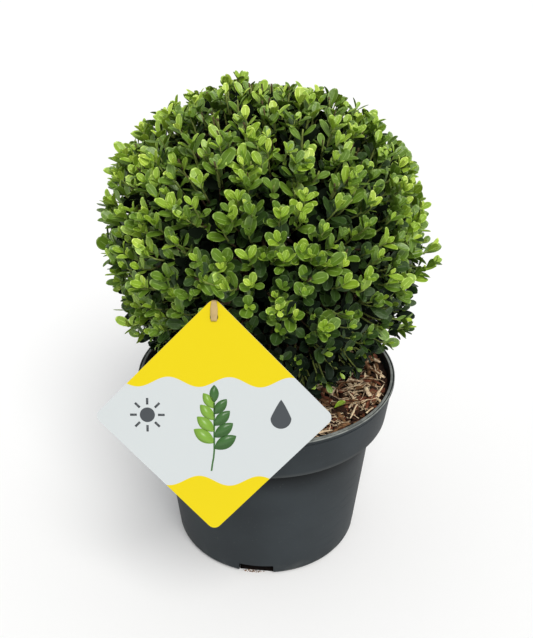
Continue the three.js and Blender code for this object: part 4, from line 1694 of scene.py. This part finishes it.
@dataclass
class Ball(Assembly):
    """Clipped ball of foliage: branches, shoots and small leathery leaves, grown outwards."""

    mulch: Mulch
    limbs: Limbs
    band: RubberBand
    centre: Point = (0.0, 0.0, 0.2925)
    radius: float = 0.136
    seed: int = 41
    shoot_count: int = 950
    crown_shoots: int = 120
    leaves_per_shoot: int = 9
    young_leaves: int = 3
    leaf_length: float = 0.0134
    leaf_share: float = 0.54
    leaf_broadest: float = 0.62
    leaf_spacing: float = 0.0030
    spacing_growth: float = 0.0003
    bud_spacing: float = 0.0012
    leaf_upturn: float = 0.28
    tip_gap: float = 0.0085
    bend_share: float = 0.45
    light_pull: float = 0.75
    hollow_depth: float = 0.008
    clip_scatter: float = 0.0024
    stray_vigour: float = 0.9
    guard_vigour: float = 0.75
    stray_shade: float = 0.35
    band_gap: float = 0.0022
    card_gap: float = 0.0015
    mulch_gap: float = 0.0008
    rim_gap: float = 0.003
    lump_height: float = 0.0030
    lump_count: float = 17.0
    branch_radius: float = 0.42
    twig_radius: float = 0.66
    branch_count: int = 26
    twig_count: int = 130
    stem_radii: Pair = (0.00085, 0.00042)
    shoot_foot_radii: Pair = (0.0012, 0.0008)
    twig_radii: Pair = (0.0017, 0.0012)
    branch_radii: Pair = (0.0026, 0.0017)
    fork_radii: Pair = (0.0036, 0.0026)
    inner_leaves: int = 4300
    shoots_per_stub: int = 2
    flush: Bulge = Bulge(-150, 58, 0.14, 34)
    guards: tuple[Guard, ...] = (
        Guard((-0.016, 0.011, -0.026), (-0.011, 0.011, -0.004), (0.0006, 0.0078, -0.0006)),
        Guard((0.020, 0.006, -0.022), (0.013, 0.003, -0.002), (0.0088, 0.0052, 0.0018)),
    )
    fallen: tuple[Point, ...] = (
        (0.0575, -0.0552, 43),
        (-0.0780, 0.0560, 80),
        (-0.0300, 0.0950, 310),
        (-0.0900, -0.0380, 150),
    )
    age_and_shade_steps: tuple[float, ...] = (0.56, 1.08, 1.75, 2.60)
    bulges: tuple[Bulge, ...] = (
        Bulge(164, 26, 0.005, 34),
        Bulge(30, 42, 0.0025, 26),
        Bulge(202, -34, -0.0055, 22),
        Bulge(40, 72, -0.0055, 16),
        Bulge(-18, -10, -0.0095, 12),
        Bulge(171, 51, 0.0015, 12),
    )
    strays: tuple[Stray, ...] = tuple(
        Stray(*row)
        for row in (
            (-13, -2, 0.0155), (-17, -6, 0.0060), (-25, -22, 0.0105), (-24, -25, 0.0075), (-28, -19, 0.0050),
            (22, 62, 0.0), (-31, -29, 0.0025), (-155, -23, 0.0070), (-152, -27, 0.0060), (-178, 31, 0.0030),
            (-174, 35, 0.0015), (144, 47, 0.0040), (166, 25, 0.0045), (131, 76, 0.0045), (110, 59, 0.005),
            (190, -24, 0.004), (-14, 3, 0.0080), (-14, -5, 0.0085),
        )
    )

    def __post_init__(self) -> None:
        """Starts the source of chance."""
        self.random = np.random.default_rng(self.seed)
        self.middle = np.array(self.centre)

    def reach(self, outward: Array) -> Array:
        """How far the clipped outline lies from the ball's middle along some directions."""
        return self.radius + sum(self.swell(bulge, outward) for bulge in self.bulges)

    def swell(self, bulge: Bulge, outward: Array) -> Array:
        """What a bulge adds along some directions."""
        apart = np.arccos(np.clip(outward @ heading(bulge.turn, bulge.height), -1, 1))
        return bulge.rise * np.exp(-((apart / math.radians(bulge.spread)) ** 2))

    def lumps(self, outward: Array) -> Array:
        """How unevenly the ball has grown along some directions: -1 in a hollow to 1 on a clump.

        Args:
            outward: The directions.

        Returns:
            One value a direction.
        """
        x, y, z = (outward * self.lump_count).T
        first = np.sin(x + 1.7 * np.sin(0.8 * y))
        second = np.sin(1.15 * y + 2.1 + 1.4 * np.sin(0.9 * z))
        third = np.sin(0.9 * z + 0.6 + 1.3 * np.sin(0.7 * x))
        return (first + second + third) / 3

    def spread(self, many: int, stray: float) -> Array:
        """Directions spread evenly over the ball by the golden angle.

        Args:
            many: How many directions.
            stray: How far each strays from its even place.

        Returns:
            The directions.
        """
        index = np.arange(many)
        z = 1 - 2 * (index + 0.5) / many
        flat = np.sqrt(1 - z * z)
        turn = index * GOLDEN_ANGLE
        even = np.stack([flat * np.cos(turn), flat * np.sin(turn), z], axis=-1)
        return unit(even + self.random.normal(0, stray, (many, 3)))

    def shoot_ends(self) -> tuple[Array, Array]:
        """Deals out where the shoots end: strays first, then all over the ball, then more at the crown.

        Returns:
            Each shoot's direction from the middle, and how far past the outline it would reach.
        """
        outward = self.spread(self.shoot_count, 0.055)
        crown = unit(self.random.normal(0, 1, (self.crown_shoots, 3)) * (1, 1, 0.35) + 1.25 * UP)
        outward = np.concatenate([outward, crown])
        lumps = self.lumps(outward)
        hollow = np.clip(-0.30 - lumps, 0, 0.4) / 0.4 * (1 - 0.8 * np.clip(outward[:, 2], 0, 1))
        past = self.lump_height * lumps - self.hollow_depth * hollow
        past = past - np.abs(self.random.normal(0, self.clip_scatter, len(lumps)))
        strays = np.array([heading(stray.turn, stray.height) for stray in self.strays])
        strays_past = [stray.past for stray in self.strays]
        return np.concatenate([strays, outward]), np.concatenate([strays_past, past])

    def shoots(self) -> Shoots:
        """Grows the shoots from the twigs towards the outline and the light.

        Returns:
            The shoots: first those before the band, then the strays, then the others.
        """
        outward, past = self.shoot_ends()
        many, strays, high = len(outward), len(self.strays), outward[:, 2]
        reach = self.reach(outward) + past
        lift = np.where(high[:, None] > -0.55, self.light_pull, 0.1)
        end_way = unit(outward + lift * UP + self.random.normal(0, 0.16, (many, 3)))
        tip = self.middle + outward * (reach - self.tip_gap)[:, None]
        inner = unit(outward - 0.06 * UP + self.random.normal(0, 0.05, (many, 3)))
        foot = self.middle + inner * (self.twig_radius * reach)[:, None]
        stretch = np.linalg.norm(tip - foot, axis=-1)
        bend = tip - end_way * (self.bend_share * stretch)[:, None]
        vigour = self.random.uniform(0, 1, many) + 0.21 * high + 0.15 * self.lumps(outward)
        vigour += self.swell(self.flush, outward) + 0.04 * np.clip(-high, 0, 1)
        vigour[:strays] = self.stray_vigour
        chance = 0.06 + 0.40 * np.clip((high - 0.40) / 0.5, 0, 1)
        clipped = self.random.uniform(0, 1, many) < chance
        clipped[:strays] = False
        guards = [[TAG.from_card(spot) for spot in (g.foot, g.bend, g.tip)] for g in self.guards]
        feet, bends, tips = np.array(guards).transpose(1, 0, 2)
        return Shoots(
            np.concatenate([feet, foot]),
            np.concatenate([bends, bend]),
            np.concatenate([tips, tip]),
            np.concatenate([unit(tips - self.middle), outward]),
            np.concatenate([np.full(len(guards), self.guard_vigour), vigour]),
            np.concatenate([np.full(len(guards), False), clipped]),
        )

    def lowness(self, shoots: Shoots) -> Array:
        """How far the leaves of each shoot are thinned and darkened by painted shade: low down, a little less
        on the left.

        Args:
            shoots: The shoots, of which the guards and strays come first.

        Returns:
            One share a shoot, in a column.
        """
        left = np.minimum(shoots.outward[:, 0], 0)
        low = np.clip(0.08 + 0.2 * left - shoots.outward[:, 2], 0, 0.55)[:, None]
        low[: len(self.guards) + len(self.strays)] *= self.stray_shade
        return low

    def tints(self, vigour: Array, depth: Array, low: Array) -> Array:
        """Deals tints by shoot: the youngest to the tips of the strongest shoots, darker ones further down
        each shoot and low down, partly as older leaves and partly as painted shade.

        Args:
            vigour: How strongly each leaf's shoot grows, about 0 to 1.
            depth: How far down its shoot each leaf sits, 0 at the tip to 1.
            low: How much painted shade the leaves of each shoot get.

        Returns:
            The number of a tint for each leaf.
        """
        # Depth along the shoot stands partly for older leaves and partly for painted shade in the dense
        # inside.
        age_and_depth_shade = 1.3 - 0.9 * vigour + 2.1 * depth**1.1 + self.random.normal(0, 0.13, depth.shape)
        tint = np.searchsorted(np.array(self.age_and_shade_steps), age_and_depth_shade)
        # Painted shade: leaves of low shoots move up to two tints darker.
        for _ in range(2):
            shaded = self.random.uniform(0, 1, depth.shape) < 1.85 * low
            tint = np.minimum(np.where(shaded & (depth > 0.05), tint + 1, tint), len(Tint) - 2)
        return tint

    def fallen_leaves(self) -> None:
        """A few leaves that have dropped on the mulch."""
        spots = np.array(self.fallen)
        root = np.stack([spots[:, 0], spots[:, 1], np.zeros(len(spots))], axis=-1)
        root[:, 2] = self.mulch.level(root) + 0.0075
        along = np.array([heading(turn, 6) for turn in spots[:, 2]])
        face = squared(UP + self.random.normal(0, 0.22, along.shape), along)
        length = np.full(len(spots), self.leaf_length)
        width = length * self.leaf_share * 0.85
        leaves = LeafHeap(root, along, face, length, width, np.zeros(len(spots), int))
        heap = self.leaf_blank(0.10, 0.10).stamped(leaves.frames(), leaves.root)
        finishes = [Tint.FRESH.value, Tint.FRESH.vein()]
        self.dresser.hand_over_heap("fallen_leaves", heap, Slot.FOLIAGE, finishes)

    def leaves(self, shoots: Shoots) -> LeafHeap:
        """Grows leaves on the shoots, turned round each by the golden angle.

        Args:
            shoots: The shoots.

        Returns:
            All the leaves.
        """
        many, random = len(shoots.tip), self.random
        count = self.leaves_per_shoot + self.young_leaves
        order = np.arange(count)[None, :].repeat(many, axis=0)
        depth, young = order / (count - 1), order < self.young_leaves
        gap = np.where(young, self.bud_spacing, self.leaf_spacing + self.spacing_growth * order)
        down = np.cumsum(gap, axis=1) * random.uniform(0.85, 1.25, (many, 1)) - self.bud_spacing
        share = np.clip(1 - down / shoots.length[:, None], 0.02, 1)
        root, stem = shoots.at(share), shoots.ahead(share)
        across, beside = square_to(stem)
        start = random.uniform(0, math.tau, (many, 1))
        turn = (start + order * GOLDEN_ANGLE + random.normal(0, 0.25, order.shape))[..., None]
        side = np.cos(turn) * across + np.sin(turn) * beside
        crown = np.clip(shoots.outward[:, None, 2] - 0.35, 0, 0.6) / 0.6
        opened = 22 + 42 * depth**0.6 + 9 * crown + random.normal(0, 9, order.shape)
        opened = np.radians(opened)[..., None]
        upturn = self.leaf_upturn * (1 - 0.45 * crown[..., None]) * UP
        along = unit(np.cos(opened) * stem + np.sin(opened) * side + upturn)
        light = unit(0.75 * UP + shoots.outward[:, None, :])
        face = 0.7 * (np.sin(opened) * stem - np.cos(opened) * side) + 0.9 * light
        face = squared(face + random.normal(0, 0.16, face.shape), along)
        grown = np.clip(0.46 + 2.4 * depth, 0, 1) * random.normal(1.0, 0.12, order.shape)
        high = np.clip(shoots.outward[:, None, 2] - 0.3, 0, 0.7)
        length = self.leaf_length * grown * random.uniform(0.87, 1.19, (many, 1)) * (1 - 0.16 * high)
        width = length * self.leaf_share * random.normal(1.0, 0.10, order.shape)
        low = self.lowness(shoots)
        wanted = ~(young & shoots.clipped[:, None]) & (share > 0.03)
        wanted &= ~((depth > 0.3) & (random.uniform(0, 1, order.shape) < 0.10 + 1.45 * low))
        tint = self.tints(shoots.vigour[:, None], depth, low)
        return LeafHeap(root, along, face, length, width, tint).kept(wanted)

    def dark_leaves(self) -> LeafHeap:
        """Leaves deep inside, near black as painted shade, which close the ball behind its gaps.

        Returns:
            The leaves, all in the darkest tint, which is painted shade.
        """
        many = self.inner_leaves
        outward = unit(self.random.normal(0, 1, (many, 3)))
        crown = np.clip(outward[:, 2], 0, 1)
        share = self.random.uniform(0.42, 0.80 + 0.055 * crown, many)
        root = self.middle + outward * (self.reach(outward) * share)[:, None]
        along = unit(outward + self.random.normal(0, 0.9, (many, 3)))
        face = squared(outward + self.random.normal(0, 0.5, (many, 3)), along)
        length = self.random.uniform(0.011, 0.017, many)
        tint = np.full(many, len(Tint) - 1)
        return LeafHeap(root, along, face, length, length * 0.62, tint)

    def clear_of_others(self, leaves: LeafHeap) -> Array:
        """Says which leaves touch neither tag, band, mulch nor pot.

        Args:
            leaves: The leaves.

        Returns:
            True for each leaf that is clear.
        """
        across = np.cross(leaves.along, leaves.face)
        sides = [(ahead, aside) for ahead in (0.3, 0.6, 0.85) for aside in (-0.45, 0.0, 0.45)]
        stations = [(0.0, 0.0), *sides, (1.0, 0.0)]
        clear = np.ones(len(leaves.root), bool)
        for ahead, aside in stations:
            spot = leaves.root + leaves.along * (leaves.length * ahead)[:, None]
            spot = spot + across * (leaves.width * aside)[:, None]
            clear &= ~self.is_taken(spot)
        return clear

    def is_taken(self, spot: Array) -> Array:
        """Says which points would touch the tag, its band, the mulch or the pot.

        Args:
            spot: The points.

        Returns:
            True for each point that would.
        """
        pot, card = self.mulch.pot, TAG.to_card(spot)
        on_band = self.band.is_near(card, self.band_gap)
        over_card = (np.abs(card[:, 0]) - 0.002 < -card[:, 1]) & (card[:, 2] > -self.card_gap)
        radius, high = np.hypot(spot[:, 0], spot[:, 1]), spot[:, 2]
        in_mulch = (high < self.mulch.level(spot) + self.mulch_gap) & (radius < 0.109)
        at_rim = (radius > pot.mouth_radius - self.rim_gap) & (high < pot.height + 0.001)
        return on_band | over_card | in_mulch | at_rim

    def within_reach(self, leaves: LeafHeap) -> Array:
        """Says which leaves end inside the clipped outline, or by a stray or before the band.

        Args:
            leaves: The leaves.

        Returns:
            True for each leaf that does.
        """
        tip = leaves.root + leaves.along * leaves.length[:, None] - self.middle
        way = unit(tip)
        limit = self.reach(way) + 0.0015 + self.lump_height * np.clip(self.lumps(way), 0, 1)
        for stray in self.strays:
            near = way @ heading(stray.turn, stray.height) > math.cos(0.16)
            limit = np.where(near, limit + max(stray.past, 0.0), limit)
        before_band = unit(TAG.from_card((0.0, 0.006, 0.003)) - self.middle)
        limit = np.where(way @ before_band > math.cos(0.13), limit + 0.016, limit)
        return np.linalg.norm(tip, axis=-1) < limit

    def leaf_outline(self, share: float) -> float:
        """The leaf's width at a share of its length: wedged at its foot and round at its tip.

        Args:
            share: The share of the leaf's length, from its foot.

        Returns:
            The width, 1 where it is broadest.
        """
        broadest = self.leaf_broadest
        if share < broadest:
            return max(0.07, math.sin(math.pi / 2 * share / broadest) ** 1.05)
        return max(0.27, math.sqrt(1 - ((share - broadest) / (1 - broadest)) ** 2))

    def leaf_blank(self, cup: float, curl: float) -> Facets:
        """One leaf of length and width 1, shaped from a grid: rim, blade, midrib, blade, rim.

        Args:
            cup: How far its edges stand above its midrib.
            curl: How far its tip bends down.

        Returns:
            The leaf, with its root at the origin, its tip along y and its upper face along z.
        """
        columns = (-1.0, -0.83, -0.05, 0.05, 0.83, 1.0)
        stations = (0.0, 0.14, 0.31, 0.49, 0.66, 0.81, 0.93, 1.0)
        grid = {"x_subdivisions": 5, "y_subdivisions": 7, "size": 1}
        shape = added(bpy.ops.mesh.primitive_grid_add, "leaf_blank", **grid)
        with edit_mode(shape):
            for i, column in enumerate(columns):
                pick_row(shape, 0, i / 5 - 0.5, lambda corner: corner.co.z == 0)
                rise = cup * abs(column) ** 1.3 - (0.02 if abs(column) < 0.1 else 0.0)
                bpy.ops.transform.translate(value=(0, 0, 1 + rise))
            for i, column in enumerate(columns):
                x = i / 5 - 0.5
                pick_row(shape, 0, x, lambda corner: corner.co.z > 0.5)
                bpy.ops.transform.translate(value=(column / 2 - x, 0, -1))
            for j, station in reversed(list(enumerate(stations))):
                y = j / 7 - 0.5
                pick_row(shape, 1, y)
                wide = self.leaf_outline(station)
                bpy.ops.transform.resize(value=(wide, 1, wide), center_override=(0, y, 0))
                bpy.ops.transform.translate(value=(0, station - y + 2, -curl * station**2))
            pick_all()
            bpy.ops.transform.translate(value=(0, -2, 0))
            pick(shape, "EDGE", lambda edge: all(c.co.y < 0.001 and abs(c.co.x) < 0.004 for c in edge.verts))
            bpy.ops.mesh.extrude_edges_move(TRANSFORM_OT_translate={"value": (0, -0.14, -0.02)})
        # Slot 1, the paler finish, goes to the rim and tip as painted highlight, and to the midrib and stalk.
        for face in shape.data.polygons:
            spots = [shape.data.vertices[v].co for v in face.vertices]
            apart = [abs(spot.x) for spot in spots]
            at_rim = min(apart) > 0.72 * max(apart) or min(spot.y for spot in spots) > 0.92
            face.material_index = int(at_rim or face.center.y < 0)
        return Facets.taken(shape)

    def dark_blank(self) -> Facets:
        """A plainer leaf for the shade inside: a round blade of eight corners, folded along its midrib.

        Returns:
            The leaf, lying as the finer one does.
        """
        shape = disc("dark_blank", 8, 0.5, (0, 0.5, 0), fill_type="TRIFAN")
        with edit_mode(shape):
            pick_row(shape, 0, 0.0)
            bpy.ops.transform.translate(value=(0, 0, -0.08))
        return Facets.taken(shape)

    def stamp_leaves(self, leaves: LeafHeap) -> None:
        """Stamps the leaves, each tint apart, in pieces of a size that the export keeps whole.

        Args:
            leaves: The leaves.
        """
        blanks = [self.leaf_blank(0.15, 0.04), self.leaf_blank(0.08, 0.12), self.leaf_blank(-0.03, 0.09)]
        form = self.random.choice(3, len(leaves.root), p=(0.5, 0.3, 0.2))
        per_piece = PIECE_TRIANGLES // blanks[0].triangles
        for number, tint in enumerate(Tint):
            chosen = np.flatnonzero(leaves.tint == number)
            for part, first in enumerate(range(0, len(chosen), per_piece)):
                these = chosen[first : first + per_piece]
                heaps = []
                for index, blank in enumerate(blanks):
                    some = leaves.kept(these[form[these] == index])
                    heaps.append(blank.stamped(some.frames(), some.root))
                name = f"leaves_{tint.name.lower()}_{part + 1}"
                finishes = [tint.value, tint.vein()]
                self.dresser.hand_over_heap(name, gathered(heaps), Slot.FOLIAGE, finishes)

    def stems(self, shoots: Shoots) -> None:
        """Green stems on the shoots' outer half, twigs and branches down to the boughs' tips.

        Args:
            shoots: The shoots.
        """
        many, limbs = len(shoots.tip), self.limbs
        paths = shoots.at(graded(0.42, 1.0, 6, many))
        radii = graded(*self.stem_radii, 6, many) * np.where(shoots.clipped, 1.35, 1.0)[:, None]
        green = self.clear_stems(paths)
        heap = tubes(paths[green], radii[green], 5)
        self.dresser.hand_over_heap("green_stems", heap, Slot.FOLIAGE, [GREEN_STEM])
        paths = shoots.at(graded(0.0, 0.46, 4, many))
        twigs = [tubes(paths, graded(*self.shoot_foot_radii, 4, many), 4)]
        outer = self.spread(self.twig_count, 0.06)
        knots = self.middle + outer * (self.reach(outer) * self.twig_radius * 0.98)[:, None]
        twigs.append(self.linked(shoots.foot, knots, self.twig_radii))
        inner = self.spread(self.branch_count, 0.10)
        forks = self.middle + inner * (self.reach(inner) * self.branch_radius)[:, None]
        forks[:, 2] += 0.006
        twigs.append(self.linked(knots, forks, self.branch_radii))
        ends = np.concatenate([limbs.bough_tips(), [[0.0, 0.0, limbs.tip_height + 0.02]]])
        twigs.append(self.linked(forks, ends, self.fork_radii))
        stem = np.array([[[0, 0, limbs.tip_height], [0, 0, 0.19], [0.001, 0, 0.204]]])
        twigs.append(tubes(stem, np.array([[0.0056, 0.0050, 0.0042]]), 8))
        self.dresser.hand_over_heap("branches", gathered(twigs), Slot.FOLIAGE, [TWIG_BARK], "foliage")

    def linked(self, outer: Array, inner: Array, ends: Pair) -> Facets:
        """Twigs from each outer point down to the nearest inner one, bowed a little outwards.

        Args:
            outer: Where the twigs end.
            inner: Where they may start.
            ends: Their radius at the start and at the end.

        Returns:
            The twigs as one mesh.
        """
        apart = np.linalg.norm(outer[:, None, :] - inner[None, :, :], axis=-1)
        start = inner[apart.argmin(axis=1)]
        share = np.linspace(0, 1, 5)[None, :, None]
        paths = start[:, None, :] * (1 - share) + outer[:, None, :] * share
        bow = 0.12 * np.linalg.norm(outer - start, axis=-1)[:, None, None] * np.sin(share * math.pi)
        aside = unit(self.random.normal(0, 1, (len(outer), 3)))[:, None, :]
        return tubes(paths + aside * bow * 0.7, graded(*ends, 5, len(outer)), 5)

    def clear_stems(self, paths: Array) -> Array:
        """Says which stems touch neither tag, band, mulch nor pot."""
        return ~self.is_taken(paths.reshape(-1, 3)).reshape(paths.shape[:2]).any(axis=1)

    def clipped_ends(self, shoots: Shoots) -> None:
        """Short bare brown stubs with a flat cut, where the shears have taken the tips off.

        Args:
            shoots: The shoots.
        """
        chosen = np.flatnonzero(shoots.clipped)[:: self.shoots_per_stub]
        tip = shoots.tip[chosen] + self.random.normal(0, 0.0006, (len(chosen), 3))
        ahead = unit(shoots.tip - shoots.bend)[chosen] + self.random.normal(0, 0.08, (len(chosen), 3))
        length = self.random.uniform(0.0022, 0.0050, len(chosen))[:, None, None]
        share = np.linspace(-1.4, 0.8, 4)[None, :, None]
        paths = tip[:, None, :] + unit(ahead)[:, None, :] * length * share
        radii = np.repeat(self.random.uniform(0.00045, 0.00080, len(chosen))[:, None], 4, axis=1)
        clear = self.clear_stems(paths)
        heap = tubes(paths[clear], radii[clear], 5)
        self.dresser.hand_over_heap("clipped_ends", heap, Slot.BARK, [CUT_WOOD])

    def band_twig(self) -> None:
        """The twig that the rubber band hangs on: out of the ball, then level behind the tag."""
        hold = np.array(TAG.frame @ Vector((0, self.band.twig_up, -self.band.twig_back)))
        elbow = hold + np.array([0.008, 0, 0])
        inward = unit(self.middle - elbow)
        far = elbow - np.array([0.014, 0, 0])
        path = np.array([[*(elbow + inward * deep for deep in (0.040, 0.020, 0.004)), hold, far]])
        radii = np.array([[0.0022, 0.0018, 0.0016, 0.0015, 0.0011]])
        self.dresser.hand_over_heap("band_twig", tubes(path, radii, 10), Slot.BARK, [TWIG_BARK])

    def build(self) -> None:
        """Grows the ball and hands its pieces over."""
        shoots = self.shoots()
        leaves = self.leaves(shoots)
        kept = leaves.kept(self.within_reach(leaves))
        kept = kept.kept(self.clear_of_others(kept))
        log.info("ball: %d shoots, %d leaves", len(shoots.tip), len(kept.root))
        self.stamp_leaves(kept)
        shade = self.dark_leaves()
        shade = shade.kept(self.clear_of_others(shade))
        # The inner leaves' near-black tint is painted shade.
        heap = self.dark_blank().stamped(shade.frames(), shade.root)
        self.dresser.hand_over_heap("leaves_inside", heap, Slot.FOLIAGE, [Tint.SHADE.value])
        self.stems(shoots)
        self.clipped_ends(shoots)
        self.fallen_leaves()
        self.band_twig()


# Studio and camera


@dataclass
class Studio(Assembly):
    """Pale floor, a broad soft key light from high on the right in front, and an even sky."""

    floor_size: float = 30.0
    sky: float = 0.58
    key_strength: float = 2.5
    key_spread: float = 32.0
    key_turn: float = -72.0
    key_height: float = 50.0

    def build(self) -> None:
        """Sets the floor and the lights."""
        drop = (0, 0, -0.0002)
        floor = added(bpy.ops.mesh.primitive_plane_add, "studio_floor", size=self.floor_size, location=drop)
        with edit_mode(floor):
            pick_all()
            bpy.ops.mesh.subdivide(number_cuts=3)
        put(floor, Matrix.Identity(4))
        floor.data.materials.append(self.dresser.material(FLOOR_PAPER))
        light = bpy.data.lights.new("key_light", "SUN")
        light.angle = math.radians(self.key_spread)
        light.energy = self.key_strength
        light.color = (1.0, 0.985, 0.96)
        lamp = new_object("key_light", light)
        towards = Vector(heading(self.key_turn, self.key_height))
        lamp.location = 2 * towards
        lamp.rotation_euler = (-towards).to_track_quat("-Z", "Y").to_euler()
        world = bpy.data.worlds.new("studio_sky")
        bpy.context.scene.world = world
        world.use_nodes = True
        background = world.node_tree.nodes["Background"]
        background.inputs["Color"].default_value = (0.97, 0.985, 1.0, 1.0)
        background.inputs["Strength"].default_value = self.sky
        bpy.context.scene.view_settings.view_transform = "Standard"


@dataclass
class ViewCamera:
    """Camera at the photograph's place: in front, above, looking down at the plant's middle."""

    place: Point = (0.0, -0.59534, 0.54873)
    down: float = 28.93
    focal_pixels: float = 778.165
    picture_height: float = 638.0
    sensor: float = 36.0

    def build(self) -> None:
        """Sets the camera."""
        data = bpy.data.cameras.new("view_camera")
        data.sensor_fit = "VERTICAL"
        data.sensor_height = self.sensor
        data.lens = self.focal_pixels / self.picture_height * self.sensor
        data.clip_start = 0.01
        camera = new_object("view_camera", data)
        camera.location = self.place
        camera.rotation_euler = (math.radians(90 - self.down), 0, 0)
        bpy.context.scene.camera = camera


def main() -> None:
    """Builds the pieces in order, from the pot up."""
    logging.basicConfig(level=logging.INFO, format="%(name)s: %(message)s", force=True)
    dresser = Dresser()
    ViewCamera().build()
    Studio(dresser).build()
    pot = Pot(dresser)
    mulch = Mulch(dresser, pot)
    limbs = Limbs(dresser)
    band = RubberBand(dresser)
    pot.build()
    mulch.build()
    limbs.build()
    Ball(dresser, mulch, limbs, band).build()
    SwingTag(dresser).build()
    band.build()


if __name__ == "__main__":
    main()
